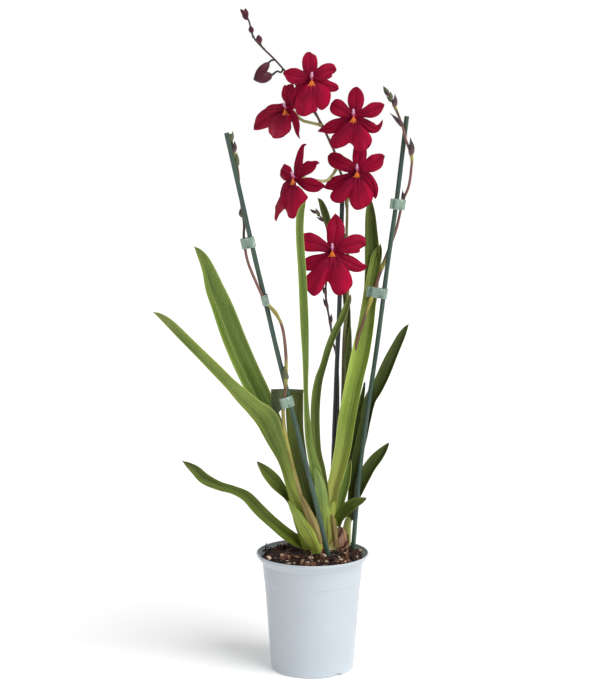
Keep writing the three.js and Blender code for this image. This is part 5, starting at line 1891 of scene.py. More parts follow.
SHOOTS: dict[str, Rows] = {
    "shoot_left": [
        [4, 15, 100, 13, 10], [3, 14, 122, 18, 12], [0, 12, 138, 17, 10], [-6, 8, 162, 12, 7],
        [-10, 5, 182, 6, 4],
    ],
    "shoot_right": [
        [19, 20, 100, 12, 10], [19, 20, 122, 11, 10], [19, 18, 142, 12, 9], [20, 14, 162, 12, 7],
        [23, 12, 180, 6, 4],
    ],
    "shoot_back": [
        [33.5, 30, 104, 8, 7], [36, 32, 122, 10.5, 8.5], [37, 31, 138, 10, 7], [39, 29, 158, 6, 4],
    ],
    "old_pseudobulb": [
        [31, 20, 104, 10, 8], [31, 20, 120, 12, 10], [31, 20, 133, 12.5, 10], [30.5, 20.5, 143, 9.5, 8],
        [30, 21, 149, 4, 3],
    ],
}

# Each row of a leaf is a point of its midrib and its width, from the foot to the tip.

LEAVES: dict[str, Rows] = {
    "leaf_front_upright": [
        [14.5, 17, 145.5, 8], [13, 10, 167, 11.5], [8.5, 4, 190.5, 13], [3, -2, 211, 12],
        [-3, -9, 238.5, 8], [-5.5, -13, 260.5, 7.5], [-7.5, -21, 299.5, 5], [-8, -29, 337.5, 6.5],
        [-9.5, -38, 380, 9], [-11.5, -48, 427.5, 8.5], [-14, -56, 468.5, 8], [-13, -60, 490, 7.5],
        [-7.5, -62, 503.5, 1.5],
    ],
    "leaf_left_drooping": [
        [-7, 8, 130.5, 9.5], [-14.5, 4, 135.5, 12], [-28.5, -4, 146.5, 13], [-45, -13, 163, 12.5],
        [-57.5, -19, 176.5, 13], [-70, -25, 191.5, 11.5], [-83.5, -31, 200, 9], [-98, -36, 205.5, 9.5],
        [-113, -41, 214, 11.5], [-123, -45, 224.5, 10], [-135.5, -48, 235, 1.5],
    ],
    "leaf_left_short": [
        [-10, 18, 148.5, 6], [-20.5, 10, 171.5, 6.5], [-28, 3, 185.5, 7], [-34.5, -4, 195.5, 11.5],
        [-42.5, -12, 206.5, 15], [-51.5, -18, 218.5, 11], [-59, -22, 229, 1.5],
    ],
    "leaf_far_left": [
        [-0.5, 2, 129.5, 17], [-5, 0, 147.5, 21], [-12, -1, 166.5, 20], [-18, -3, 185.5, 15],
        [-24, -5, 201, 12.5], [-29, -7, 218.5, 13], [-34, -10, 233.5, 16.5], [-41.5, -13, 250, 21],
        [-51, -17, 271, 26], [-63.5, -21, 285, 20], [-76, -24, 298, 17.5], [-88.5, -27, 312, 13.5],
        [-102.5, -31, 327.5, 12.5], [-117.5, -34, 343.5, 11.5], [-133, -38, 360, 11],
        [-147, -41, 375, 10], [-156, -43, 383.5, 6.5], [-164.5, -44, 389.5, 1],
    ],
    "leaf_folded_over": [
        [6, 12, 144.5, 8], [-0.5, 11, 167, 13], [-6.5, 10, 189, 15], [-12, 8, 211.5, 17],
        [-16, 6, 235.5, 17.5], [-18.5, 3, 258, 17.5], [-19.3, 0.5, 280, 18.5], [-19.8, -1, 301, 19.5],
    ],
    "leaf_left_upper": [
        [-5, 17, 140, 10], [-12.5, 19, 173, 12], [-22, 20, 202, 14], [-34.5, 19, 236.5, 18],
        [-45.5, 17, 264, 22], [-57.5, 15, 290.5, 24.5], [-72, 12, 321, 26], [-85.5, 9, 353.5, 25.5],
        [-97, 5, 386, 24.5], [-105, 1, 407.5, 21.5], [-111, -3, 429, 15], [-117, -6, 443.5, 10],
        [-124, -8, 454.5, 1.5],
    ],
    "leaf_right_low": [
        [26.5, 17, 150, 8], [29, 11, 160.5, 10.5], [36, 5, 171, 12.5], [43.5, 0, 178, 11.5],
        [51.5, -3, 182.5, 7.5], [57.5, -4, 185.5, 1.5],
    ],
    "leaf_bright": [
        [22, 19, 143, 10], [20.5, 15, 168, 13], [21.5, 12, 188.5, 13], [26.5, 9, 209, 15],
        [32.5, 6, 235.5, 17], [37, 4, 268.5, 18.5], [42, 4, 295.5, 18.5], [46.5, 6, 316.5, 19],
        [51.5, 11, 337, 19.5], [57, 18, 363, 17.5], [61, 26, 389, 15.5], [64, 32, 410, 13.5],
        [67, 37, 427.5, 12.5], [70, 40, 441.5, 11], [73.5, 43, 454, 1.5],
    ],
    "sheath_bright": [
        [27.5, 14, 163, 6], [31.5, 12, 180, 9], [36.5, 11, 200, 9.5], [39.5, 12, 215, 6],
        [41, 12, 223.5, 1.5],
    ],
    "leaf_arching": [
        [14.5, 14, 174, 7], [12.5, 9, 193.5, 8], [9.5, 6, 214, 8], [4, 4, 236, 9.5], [2.5, 2, 269, 9.5],
        [3.5, 1, 293.5, 9.5], [6.5, 1, 312, 8.5], [11.5, 1, 328, 7], [16.5, 2, 345, 7],
        [23.5, 4, 362.5, 7], [30.5, 6, 376, 7], [35.5, 9, 388.5, 6], [39.5, 11, 401.5, 1],
    ],
    "leaf_behind_thin": [
        [27, 31, 170, 8], [31, 37, 207.5, 8], [34, 42, 251, 8], [36.5, 43, 294.5, 8], [37, 43, 338.5, 8],
        [37.5, 43, 371, 7.5], [36, 43, 398, 7], [31.5, 42, 425, 7], [24.5, 40, 452, 7.5],
        [18, 37, 470.5, 7.5], [13, 34, 486.5, 8], [9, 32, 497.5, 5.5], [5, 30, 503, 1],
    ],
    "leaf_right_short": [
        [43, 30, 153.5, 5], [45, 28, 168.5, 6], [49, 26, 181, 8.5], [53, 25, 193, 12.5],
        [58, 24, 204.5, 14.5], [65, 21, 217, 14], [73, 17, 228, 11.5], [78, 14, 235.5, 7.5],
        [82, 12, 242.5, 1.5],
    ],
    "leaf_right_long": [
        [40, 33, 150.5, 6], [42.5, 34, 175, 7.5], [45, 33, 197.5, 9], [49, 32, 219.5, 11.5],
        [54, 31, 242, 12], [58.5, 29.5, 264, 11.5], [63, 28, 285, 13.5], [70, 25, 298, 14],
        [76.5, 22, 312, 14], [84, 16, 331, 13.5], [91.5, 9, 349.5, 11], [96.5, 4, 361.5, 8],
        [101, 0, 372, 1.5],
    ],
    "leaf_tall_right": [
        [29, 27, 182, 11], [33, 27, 231.5, 13], [40.5, 28, 284, 13], [48, 30, 321.5, 14],
        [55, 32, 355, 14.5], [60, 35, 382.5, 15.5], [63.5, 38, 404, 15.5], [64.5, 41, 425, 15.5],
        [64.5, 44, 446.5, 15.5], [63.5, 47, 468, 13.5], [62.5, 49, 487, 10], [61.5, 50, 504, 2],
    ],
    "leaf_small_dark": [
        [31, 28, 198.5, 4.5], [34, 28, 231.5, 5], [37, 27, 264.5, 5], [37.5, 26, 292, 6],
        [38.5, 25, 319, 6.5], [39, 25, 340.5, 6], [39.5, 25, 356, 4.5], [40.5, 25, 368.5, 1],
    ],
    "leaf_dark_behind": [
        [30, 31, 175.5, 6], [35, 35, 202.5, 9], [41, 38, 227, 10], [46.5, 39, 249, 8],
        [50.5, 40, 271, 6.5], [54.5, 40, 289.5, 4.5], [57, 40, 305, 1.5],
    ],
}

# The centre of each bloom and the direction that it faces

BLOOM_PLACES: Sequence[tuple[tuple[float, float, float], tuple[float, float, float]]] = [
    ((-2, -22, 625.5), (0.1, -0.98, -0.1)),
    ((-26.5, 2, 597), (-0.5, -0.8, -0.3)),
    ((42, -12, 588.5), (-0.12, -0.98, -0.1)),
    ((46.5, 8, 531.5), (-0.1, -0.98, 0)),
    ((-18, -10, 525), (-0.55, -0.8, -0.15)),
    ((20.5, 0, 448.5), (-0.05, -0.98, 0.15)),
]

# The dorsal sepal, the right and left petals and the right and left lateral sepals of each bloom.
# Each row is x, z, width and push.

TEPALS: Sequence[Sequence[Rows]] = [
    [
        [
            [0, 4, 8.5, 0.5], [-1, 9, 14, 1.5], [-1.5, 16, 16, 2], [-1.5, 22, 14, 1],
            [-1.5, 25, 8.5, -0.5], [-1, 27, 2, -1],
        ],
        [
            [3.5, 2, 9.5, 0.5], [9, 4.5, 13.5, 1.5], [15, 7.5, 16, 1.5], [20.5, 9.5, 13, 0],
            [24, 9, 7, -1], [26, 8.5, 2, -2],
        ],
        [
            [-4.5, 1.5, 9.5, 0.5], [-11.5, 2, 14.5, 1.5], [-17.5, 3, 16.5, 1.5], [-22.5, 4.5, 13, 0],
            [-26, 5.5, 6.5, -1], [-28.5, 6, 2, -2],
        ],
        [
            [4, -2, 8.5, 0], [11, -4.5, 11.5, -1], [18.5, -7.5, 11, -3], [24.5, -9, 9, -5],
            [29, -10.5, 4.5, -7],
        ],
        [
            [-3, -3, 8.5, 0], [-8, -9, 13, -2], [-12, -15.5, 14, -4], [-15.5, -21.5, 10.5, -6],
            [-18, -27, 3, -8],
        ],
    ],
    [
        [
            [1, 4, 7.5, 0.5], [0, 10, 13, 1], [1, 16, 14.5, 1], [2, 21, 12.5, 0], [1.5, 23.5, 6.5, -1],
        ],
        [
            [3, 1.5, 7.5, 0], [9, 4.5, 12.5, 0], [13.5, 7.5, 12.5, -1], [18.5, 9, 3, -2],
        ],
        [
            [-2.5, 0.5, 8.5, 1], [-7.5, 0, 9.5, 2], [-14, -0.5, 9.5, 2], [-20, -2, 7, 1],
            [-23.5, -3.5, 2, 0],
        ],
        [
            [2, -3.5, 7.5, 0], [5.5, -10, 10, -1], [7.5, -16.5, 9.5, -2], [8, -23, 7, -3],
            [8.5, -28.5, 3.5, -4], [10.5, -33.5, 1, -5],
        ],
        [
            [-4, -2.5, 9.5, 0], [-12, -6, 15.5, 0], [-21.5, -10.5, 19, -1], [-29, -15.5, 16, -2],
            [-34, -20, 9.5, -3], [-38, -24, 1.5, -4],
        ],
    ],
    [
        [
            [0.5, 4, 8.5, 0.5], [1.5, 10, 15, 1.5], [2, 17, 17, 2], [2, 23, 14.5, 1], [2, 27, 8.5, -0.5],
            [2, 29.5, 2, -1.5],
        ],
        [
            [4.5, 1.5, 7.5, 0.5], [10.5, 3, 10, 1], [16.5, 4.5, 14, 1.5], [22, 7, 14.5, 0],
            [27, 9.5, 9, -2], [31, 11, 2, -4],
        ],
        [
            [-3.5, 0.5, 8.5, 0.5], [-9, 3.5, 13, 1.5], [-15, 7.5, 16.5, 2], [-20, 10.5, 15.5, 1],
            [-23.5, 12.5, 8.5, -1],
        ],
        [
            [4.5, -4, 7.5, 0], [11.5, -8, 9.5, -2], [17.5, -12.5, 11.5, -4], [22.5, -13.5, 8.5, -6],
            [26.5, -10.5, 4, -7], [29, -4.5, 1, -8],
        ],
        [
            [-4.5, -4, 8.5, 0], [-12, -7.5, 11.5, -1], [-19.5, -10.5, 14, -2], [-27, -13.5, 11.5, -3.5],
            [-33, -15, 5.5, -5], [-38, -16.5, 1, -6],
        ],
    ],
    [
        [
            [0.5, 4.5, 8.5, 0.5], [1.5, 10.5, 13.5, 1], [2.5, 18, 15, 1], [2.5, 25, 12.5, 0],
            [2.5, 31, 3, -2],
        ],
        [
            [4, 1.5, 8.5, 0.5], [9, 4.5, 13, 1], [15, 7, 16.5, 1.5], [20, 10.5, 16.5, 1],
            [24.5, 14, 10, -1], [28.5, 15.5, 2, -3],
        ],
        [
            [-4, 1, 8.5, 0.5], [-9.5, 5, 13.5, 1.5], [-16, 8, 14.5, 2], [-22, 11, 16.5, 1],
            [-27.5, 14, 12.5, -0.5], [-31, 15.5, 4, -2],
        ],
        [
            [4.5, -2.5, 7.5, 0], [9.5, -6, 10.5, -2], [14, -11.5, 10, -4], [17, -17.5, 9, -6],
            [18, -24, 6.5, -8], [18.5, -29.5, 1.5, -9],
        ],
        [
            [-5.5, -5, 8.5, 0], [-13, -9, 12, -1], [-20.5, -12, 14.5, -2], [-27, -14.5, 13, -3.5],
            [-31.5, -16.5, 7, -5], [-35, -18, 1.5, -6],
        ],
    ],
    [
        [
            [1.5, 4, 8.5, 0.5], [3, 11.5, 10, 1], [4, 18.5, 10, 1], [5, 25.5, 8, 0], [6, 30.5, 5, -1],
            [7, 33, 3, -2], [10, 34, 1, -3],
        ],
        [
            [4, 3, 7.5, 0], [8.5, 7.5, 11.5, 0], [13, 11, 13, -1], [16.5, 13, 9, -2],
            [19.5, 15, 4.5, -3], [22.5, 14.5, 1, -4],
        ],
        [
            [-3, 1, 8.5, 0.5], [-6.5, 3, 14, 1.5], [-10, 5, 17.5, 1.5], [-14, 6.5, 16, 0],
            [-16, 7.5, 10.5, -1],
        ],
        [
            [3, -3, 7.5, 0], [8.5, -6, 12.5, 0], [14.5, -7.5, 15, -1], [20, -8.5, 13, -2],
            [24, -8.5, 7.5, -3.5], [28.5, -9.5, 1, -5],
        ],
        [
            [-2.5, -3.5, 7.5, 0], [-9, -8, 9.5, -2], [-14, -12.5, 9, -4], [-17.5, -19.5, 6, -6],
            [-20, -26, 2, -8],
        ],
    ],
    [
        [
            [0.5, 4, 9.5, 0.5], [2, 10, 16, 1], [3.5, 18.5, 19, 1.5], [3.5, 26, 18, 0.5],
            [3.5, 32.5, 11.5, -1], [3, 39.5, 1.5, -3],
        ],
        [
            [4.5, 1.5, 8.5, 0.5], [10, 3.5, 13, 1.5], [17, 5.5, 17.5, 2], [23.5, 7.5, 20, 1.5],
            [29.5, 8.5, 16.5, 0], [35, 6, 4, -2],
        ],
        [
            [-4.5, 2, 8.5, 0.5], [-11, 5, 13, 1.5], [-18, 7.5, 18, 2], [-25.5, 9.5, 20, 1.5],
            [-31.5, 11.5, 14.5, 0], [-34.5, 12, 3, -2],
        ],
        [
            [4.5, -4, 7.5, 0], [10, -7.5, 11.5, -1], [17.5, -11.5, 14.5, -2], [24.5, -15, 13.5, -3.5],
            [31, -16, 8.5, -5], [36.5, -14.5, 1.5, -7],
        ],
        [
            [-4.5, -4.5, 7.5, 0], [-11.5, -8.5, 12, -1], [-19, -11.5, 15.5, -2],
            [-25.5, -13.5, 14.5, -3.5], [-31, -14.5, 8.5, -5], [-34, -15, 2, -6],
        ],
    ],
]

# The rim of each lip, from one shoulder round its lobes to the other

LIPS: Sequence[Rows] = [
    [
        [-5, -5], [-11, -10], [-15, -18.5], [-16.5, -27.5], [-14.5, -34.5], [-10.5, -37.5], [-5, -37.5],
        [1, -35], [6.5, -32], [6, -28.5], [8.5, -30.5], [11.5, -31.5], [15.5, -29], [19, -24.5],
        [20.5, -18], [19.5, -12.5], [15, -8], [7.5, -5],
    ],
    [
        [-6, -5], [-12, -7], [-17.5, -11], [-20.5, -17], [-21, -23], [-20, -28.5], [-16, -31.5],
        [-11.5, -32.5], [-6, -31], [-2, -28], [1.5, -24], [3, -17.5], [3.5, -10.5], [1.5, -5],
    ],
    [
        [-6, -8.5], [-13.5, -13], [-20.5, -18.5], [-23.5, -23], [-24.5, -27.5], [-23, -31.5],
        [-19.5, -34], [-14.5, -33], [-9, -31], [-4.5, -28], [-1, -31], [1, -35], [6, -37], [11.5, -36],
        [16, -32], [18.5, -27], [18, -22], [14, -16.5], [7, -10.5], [3.5, -7.5],
    ],
    [
        [-5.5, -9.5], [-13, -13.5], [-20.5, -17.5], [-26, -21], [-28.5, -26.5], [-26.5, -31],
        [-21.5, -33.5], [-16, -33], [-12.5, -30.5], [-9, -27.5], [-8, -32.5], [-5.5, -37], [-1.5, -40.5],
        [4, -40], [9.5, -37], [14.5, -32.5], [16.5, -26], [14.5, -20], [10, -14], [4, -9],
    ],
    [
        [-8.5, -9], [-13.5, -13], [-16, -17.5], [-18, -23.5], [-21.5, -29.5], [-23, -36.5], [-24, -43.5],
        [-22, -47], [-19, -41], [-15.5, -35.5], [-13, -33.5], [-10.5, -37], [-8, -41.5], [-4.5, -43.5],
        [-1, -40.5], [3, -33], [7.5, -26.5], [10.5, -21.5], [9.5, -17.5], [6.5, -13], [1.5, -9],
    ],
    [
        [-5.5, -10], [-12, -15.5], [-19.5, -20], [-25.5, -24], [-29.5, -30], [-29.5, -36.5],
        [-25.5, -42], [-21.5, -46], [-18, -46.5], [-13.5, -43.5], [-10, -38.5], [-7.5, -33.5],
        [-5, -31.5], [-2.5, -35], [0, -41], [3.5, -45], [9, -45.5], [14, -43.5], [18.5, -38.5],
        [21, -34], [20, -27], [17, -20.5], [11.5, -15], [6, -10],
    ],
]


# The assembly


class Green(Enum):
    """The leaf colours: foot, blade, light, tip, underside, rim, sheath, and where the tip starts."""

    LIME = ("#b4be4a", "#6a8032", "#96a850", "#a39c62", "#7f9048", "#b3b85f", "#9db048")
    FRESH = ("#93aa50", "#67802f", "#9ab45a", "#8f9150", "#7a8c48", "#b3bd68", "#86a060")
    SUNNY = ("#cfca6c", "#839c38", "#a9bb58", "#56662c", "#98a858", "#b2bf60", "#a9bb54", 0.5)
    MOSS = ("#7f8f3c", "#566728", "#7a8c3c", "#70743c", "#6a7836", "#8d9650", "#7c8e44")
    OLIVE = ("#72821f", "#4f5f1a", "#70822c", "#5c5e3c", "#626c36", "#8a8c4a", "#6f8030")
    DEEP = ("#55661c", "#455419", "#64752c", "#4b5224", "#505a28", "#76803e", "#5c6c2c")
    SHADE = ("#515e16", "#4b5714", "#6a7726", "#505a22", "#555a46", "#6c7038", "#566224")


# Each leaf's colours, the turn and the fold at its foot and tip, and where its crease lies

LEAF_LOOKS: dict[str, tuple[Green, tuple[float, float], tuple[float, float], float]] = {
    "leaf_front_upright": (Green.FRESH, (20, 10), (0.3, 0.5), -0.2),
    "leaf_left_drooping": (Green.OLIVE, (10, 20), (0.5, 0.5), 0.1),
    "leaf_left_short": (Green.OLIVE, (15, 25), (0.4, 0.5), 0.1),
    "leaf_far_left": (Green.LIME, (20, 35), (-0.5, 0.6), -0.4),
    "leaf_folded_over": (Green.SHADE, (0, 0), (0.25, 0.25), 0.25),
    "leaf_left_upper": (Green.FRESH, (15, 25), (0.5, 0.6), -0.1),
    "leaf_right_low": (Green.OLIVE, (-10, -20), (0.4, 0.4), 0.1),
    "leaf_bright": (Green.SUNNY, (-5, -20), (0.4, 0.55), 0.2),
    "sheath_bright": (Green.FRESH, (-20, -30), (0.4, 0.4), 0),
    "leaf_arching": (Green.MOSS, (15, -15), (0.5, 0.5), 0.2),
    "leaf_behind_thin": (Green.MOSS, (0, 0), (0.4, 0.4), 0),
    "leaf_right_short": (Green.DEEP, (-20, -30), (0.5, 0.5), 0.1),
    "leaf_right_long": (Green.DEEP, (-15, -30), (0.5, 0.6), 0.15),
    "leaf_tall_right": (Green.MOSS, (-10, -15), (0.4, 0.5), 0.1),
    "leaf_small_dark": (Green.MOSS, (0, 0), (0.3, 0.3), 0),
    "leaf_dark_behind": (Green.MOSS, (-10, -15), (0.35, 0.35), 0),
}

# The sheaths that wrap the feet of leaves, and the fold and flap of the bent leaf

MORE_STRIPS: dict[str, list[Strip]] = {
    "leaf_far_left": [
        Strip(
            [
                [4.8, -4, 125, 11], [3.2, -5, 133, 13], [-3, -7.5, 147.5, 17], [-11.3, -9, 161.5, 13.5],
                [-19.8, -10, 174.2, 7.5], [-26.5, -10, 184.5, 1.5],
            ],
            (10, 25), (-0.35, -0.35), 2,
        ),
        Strip(
            [
                [-12.5, -11.5, 191, 2], [-8, -9, 179, 6.5], [-1.5, -6, 164, 9], [4, -3, 149, 9.5],
                [8, -1, 134, 7],
            ],
            (10, 10), (-0.3, -0.3), 4,
        ),
    ],
    "leaf_front_upright": [
        Strip(
            [
                [11.2, 13, 133.5, 8], [10.4, 8.5, 149.6, 10.5], [10.1, 3, 171, 12.5], [9, -2, 192.4, 12.5],
                [5.5, -7, 209, 7.5], [1.5, -10, 220, 1.5],
            ],
            (15, 10), (-0.3, -0.25), 2, 0.2,
        )
    ],
    "leaf_folded_over": [
        Strip(
            [[-9.5, -1, 300.2, 3], [-26, -3.5, 301.2, 3.6], [-44, -5.5, 301.5, 3]],
            tone=1, blunt=True, width=9,
        ),
        Strip(
            [[-36.3, -5, 302, 16], [-36.8, -6.5, 293, 15], [-38.5, -7, 284, 12], [-42, -6.5, 276.5, 4]],
            (-10, -10), (-0.2, -0.2), 1, blunt=True, steps=40,
        ),
    ],
    "leaf_bright": [
        Strip(
            [
                [17, 14, 128, 9], [17, 12, 143, 10.5], [16.5, 10, 157, 9.5], [15, 8.5, 170, 6],
                [14.5, 8, 180, 1.5],
            ],
            (0, 0), (-0.3, -0.3), 2,
        ),
        Strip(
            [[25, 12, 128, 5], [24, 10.5, 143, 6], [22, 9, 156, 4.5], [20.5, 8, 166, 1]],
            (-20, -20), (-0.3, -0.3), 4,
        ),
    ],
}

# The colour of each stem from its foot up, as bands with the heights where each starts and ends

STEM_BANDS: dict[str, Sequence[tuple[StemColour, float, float]]] = {
    "spike_left": (
        (StemColour.STRAW, 166, 190), (StemColour.GREEN, 220, 286), (StemColour.BROWN, 298, 308),
        (StemColour.GREEN, 314, 333), (StemColour.PINK, 341, 374), (StemColour.GREEN, 381, 395),
        (StemColour.PINK, 402, 452), (StemColour.DARK, 466, 496), (StemColour.BROWN, 510, 536),
        (StemColour.GREEN, 545, 553), (StemColour.PLUM, 560, 562), (StemColour.MOSS, 568, 570),
    ),
    "spike_right": (
        (StemColour.OLIVE, 165, 180), (StemColour.MOSS, 240, 260), (StemColour.BROWN, 345, 378),
        (StemColour.GREEN, 386, 402), (StemColour.PINK, 410, 423), (StemColour.GREEN, 428, 430),
        (StemColour.BROWN, 440, 450), (StemColour.PINK, 466, 539), (StemColour.GREEN, 544, 552),
        (StemColour.PINK, 558, 576), (StemColour.STRAW, 580, 582), (StemColour.BROWN, 587, 593),
        (StemColour.GREEN, 597, 598), (StemColour.DARK, 601, 603), (StemColour.MOSS, 612, 614),
    ),
    "spike_main": (
        (StemColour.MOSS, 148, 300), (StemColour.OLIVE, 380, 386), (StemColour.STRAW, 390, 393),
        (StemColour.OLIVE, 400, 450), (StemColour.STRAW, 457, 460), (StemColour.OLIVE, 470, 515),
        (StemColour.BROWN, 555, 561), (StemColour.PLUM, 600, 689),
    ),
    "spike_thin": ((StemColour.DARK, 153, 440), (StemColour.BROWN, 468, 475), (StemColour.MOSS, 487, 488)),
}

# Each closed bud, from foot to tip, and its width. The last is a cluster.

BUDS: dict[str, Sequence[tuple[Sequence[float], Sequence[float], float]]] = {
    "bud_1": [((-45.8, -3.6, 642.4), (-61, -6, 626), 9.5)],
    "bud_2": [((-42.5, -1.4, 630), (-61.5, -4, 625.5), 11.5)],
    "bud_3": [((-54.4, -9, 662.2), (-56, -11, 670.5), 6.5)],
    "bud_4": [((-62.5, -11, 672.4), (-64, -13, 679.5), 5.5)],
    "bud_5": [
        ((-66.6, -9, 688.5), (-74.5, -9.5, 696.5), 5),
        ((-67, -9, 689), (-69.5, -8.5, 697.5), 4.2),
        ((-66.5, -9.5, 686), (-72.5, -11, 690), 3.6),
    ],
}

# The bracts of each stem: height, side, length, lean, belly and tone

LEFT, RIGHT = (-1, -0.4, 0), (1, -0.3, 0)
DARK_BRACT, GREEN_BRACT = 2, 6

BRACTS: dict[str, Sequence[tuple]] = {
    "spike_left": [
        (318, (-1, -0.8, 0), 13, 0.1, 0.2, GREEN_BRACT), (485, LEFT, 9, 0.15, 0.9, GREEN_BRACT),
        (538, RIGHT, 14, 0.12, 0.7, GREEN_BRACT), (552, RIGHT, 11, 0.2, 0.7, DARK_BRACT),
        (562, LEFT, 10, 0.15, 0.6, GREEN_BRACT), (564, RIGHT, 9, 0.3, 0.6, GREEN_BRACT),
    ],
    "spike_right": [
        (500, LEFT, 11, 0.3, 0.3, DARK_BRACT), (549, RIGHT, 18, 0.14, 0.9, DARK_BRACT),
        (578, LEFT, 17, 0.55, 0.9, DARK_BRACT), (598, RIGHT, 12, 0.4, 0.8, DARK_BRACT),
        (603, LEFT, 8, 0.3, 0.5, GREEN_BRACT), (606.5, RIGHT, 7.5, 0.25, 0.5, GREEN_BRACT),
        (610, LEFT, 7.5, 0.3, 0.5, DARK_BRACT), (612.5, LEFT, 8.5, 0.0, 0.6, GREEN_BRACT),
    ],
    "spike_main": [
        (388, (1, -0.5, 0), 12, 0.15, 0.2, GREEN_BRACT), (455, (-1, -0.6, 0), 12, 0.15, 0.2, GREEN_BRACT),
    ],
    "spike_thin": [
        (369, RIGHT, 10, 0.2, 0.3, DARK_BRACT), (387, LEFT, 10, 0.2, 0.3, DARK_BRACT),
        (401, LEFT, 9, 0.2, 0.3, DARK_BRACT), (479, LEFT, 9, 0.4, 0.7, DARK_BRACT),
        (484, RIGHT, 9, 0.3, 0.7, GREEN_BRACT), (487, LEFT, 8, 0.2, 0.7, DARK_BRACT),
    ],
}

# The name of each stem's finish, its radius at the foot and at the tip, and the heights of its joints

STEMS: dict[str, tuple[str, tuple[float, float], Sequence[float]]] = {
    "spike_left": ("pink_stem", (2.2, 1.1), (320, 388, 490, 549)),
    "spike_right": ("brown_stem", (2.3, 1.2), (394, 431, 548, 598)),
    "spike_main": ("olive_stem", (2.3, 0.9), (388, 455, 497, 537, 560, 579, 593)),
    "spike_thin": ("dark_stem", (1.5, 0.9), (369, 387, 401, 460)),
}


def pots_and_bark() -> None:
    """Build the pot and what fills it."""
    pot = Pot()
    pot.dress()
    Medium(pot).dress()


def shoots() -> None:
    """Build the shoots' feet and the old pseudobulb, with the husks that wrap them."""
    green = ShootFinish(
        "shoot_skin", "#b9a445", "#a9b04a", "#93a348", "#857c3a", husk="#b5ad55", edge="#8a6434"
    )
    bright = ShootFinish(
        "bright_shoot_skin", "#c8a95c", "#c6c562", "#aab84e", "#8f9a40", husk="#cfc684", edge="#9a6432"
    )
    pale = ShootFinish(
        "back_shoot_skin", "#c2b26a", "#c3c470", "#a9b45c", "#97914c", husk="#c9c27c", edge="#8a7440"
    )
    dry = ShootFinish("dry_husk", "#9a6a4c", "#bd8f70", "#b98868", "#6e4128", 0.0009)
    old = Husk((185, 300), 112, (131, 149), 0.9, 1.0), Husk((235, 385), 110, (124, 139), 1.7, 1.1)
    for name, slot, finish, ribs, husks in (
        ("shoot_left", "shoots", green, 0.03, [Husk((200, 330), 112, (128, 124), 1.0, 0.8)]),
        ("shoot_right", "shoots", bright, 0.025, [Husk((215, 340), 110, (131, 140), 1.0, 1.0)]),
        ("shoot_back", "shoots", pale, 0.03, []),
        ("old_pseudobulb", "old_pseudobulb", dry, 0.06, old),
    ):
        Shoot(name, slot, finish, SHOOTS[name], ribs, husks).dress()


def leaves() -> None:
    """Build the sixteen leaves."""
    for name, (green, yaw, rise, crease) in LEAF_LOOKS.items():
        finish = LeafFinish(f"leaf_{green.name.lower()}", *green.value)
        more = MORE_STRIPS.get(name, [])
        blade = Strip(LEAVES[name], yaw, rise, 0, crease, blunt=name == "leaf_folded_over")
        Leaf(name, finish, [blade, *more]).dress()


def sticks() -> dict[str, Stick]:
    """Build the three sticks.

    Returns:
        The sticks by name.
    """
    green = StickFinish("green_cane", "#1d382d", "#3b5c4a")
    # The middle stick gets a near-black copy of the green cane paint: painted shade for the stick standing
    # behind the plant.
    dark = StickFinish("painted_shade_cane", "#10161a", "#222c30", "#3c463c")
    looks = {"stick_front": green, "stick_middle": dark, "stick_right": green}
    made = {name: Stick(name, looks[name], rows) for name, rows in STICKS.items()}
    for stick in made.values():
        stick.dress()
    return made


def blooms() -> list[Bloom]:
    """Build the six blooms.

    Returns:
        The blooms, in the order of their numbers.
    """
    petals, waxy = PetalFinish("petal_velvet"), ColumnFinish("waxy_column")
    made = [
        Bloom(number, *place, tepals, lip, petals, waxy)
        for number, (place, tepals, lip) in enumerate(zip(BLOOM_PLACES, TEPALS, LIPS), 1)
    ]
    for bloom in made:
        bloom.dress()
    return made


def buds() -> dict[str, Bud]:
    """Build the five buds, of which the last is a cluster.

    Returns:
        The buds by name.
    """
    finish = BudFinish("bud_skin")
    made = {name: Bud(name, shapes, finish) for name, shapes in BUDS.items()}
    for bud in made.values():
        bud.dress()
    return made


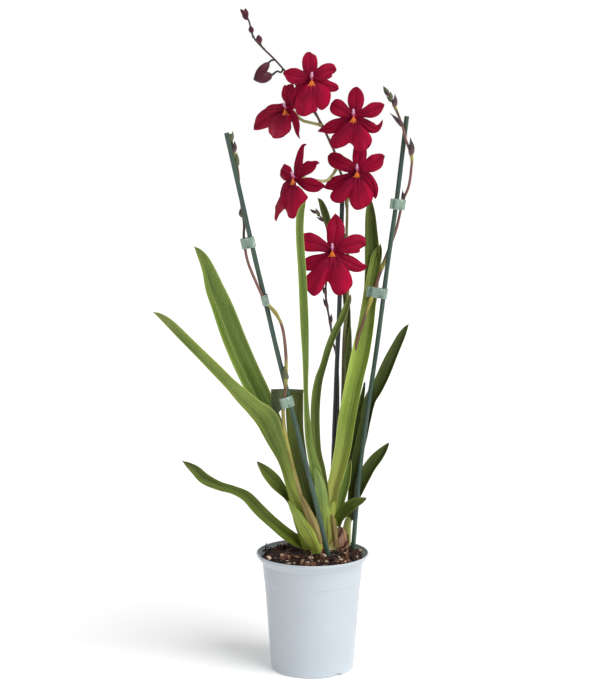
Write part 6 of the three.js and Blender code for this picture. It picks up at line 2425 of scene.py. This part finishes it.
def spikes(flowers: list[Bloom], closed: dict[str, Bud]) -> dict[str, Spike]:
    """Build the four flower stems with their bracts and stalks.

    Args:
        flowers: The blooms, whose stalks end behind their cores.
        closed: The buds, whose stalks end at their feet.

    Returns:
        The stems by name.
    """
    backs = [tuple(np.array(bloom.centre) - 2.6 * bloom.out()) for bloom in flowers]
    feet = {name: bud.shapes[0][0] for name, bud in closed.items()}
    thin = {"swell": 0.2, "radius": 1, "tone": 8}
    stalks = [
        Stalk(593, [(0, -6, 606)], backs[0], tone=8),
        Stalk(579, [(-2, 7, 581.5), (-12.5, 6, 585)], backs[1], radius=1.6),
        Stalk(560, [(31.5, 4, 572)], backs[2]),
        Stalk(497, [(41.5, 22, 517)], backs[3]),
        Stalk(537, [(20.5, 15, 527), (11, 8, 521)], backs[4], radius=1.6),
        Stalk(434, [(32, 20, 441)], backs[5]),
        Stalk(646, [(-43, -3, 645)], feet["bud_1"], **thin),
        Stalk(636, [(-33, -1, 633), (-37, -1, 634)], feet["bud_2"], **thin),
        Stalk(657, [(-53, -7, 659.5)], feet["bud_3"], **thin),
        Stalk(669, [(-62, -9.5, 670)], feet["bud_4"], **thin),
    ]
    made = {}
    for name, (look, radius, joints) in STEMS.items():
        rows, bands = SPIKES[name], STEM_BANDS[name]
        finish = StemFinish(look, rows[0][2], rows[-1][2], bands)
        bracts = [Bract(*bract) for bract in BRACTS[name]]
        grown = stalks if name == "spike_main" else ()
        made[name] = Spike(name, finish, radius, rows, joints, bracts, grown)
    for spike in made.values():
        spike.dress()
    return made


def ties(canes: dict[str, Stick], stems: dict[str, Spike]) -> None:
    """Tie the stems to the sticks.

    Args:
        canes: The sticks by name.
        stems: The flower stems by name.
    """
    film = RibbonFinish("ribbon_film")
    for name, side, height, near_stem, tail in (
        ("tie_1", ("stick_front", "spike_left"), 459, True, 0),
        ("tie_2", ("stick_front", "spike_left"), 400, False, 3),
        ("tie_3", ("stick_front", "spike_left"), 293, True, 0),
        ("tie_4", ("stick_right", "spike_right"), 403, True, 4),
        ("tie_5", ("stick_right", "spike_right"), 496, False, 3),
    ):
        Tie(name, canes[side[0]], stems[side[1]], height, near_stem, tail, film).dress()


def main() -> None:
    """Dress the whole plant."""
    logging.basicConfig(level=logging.INFO, format="%(name)s: %(message)s")
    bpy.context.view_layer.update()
    Studio().dress()
    pots_and_bark()
    shoots()
    leaves()
    canes = sticks()
    stems = spikes(blooms(), buds())
    ties(canes, stems)


if __name__ == "__main__":
    main()
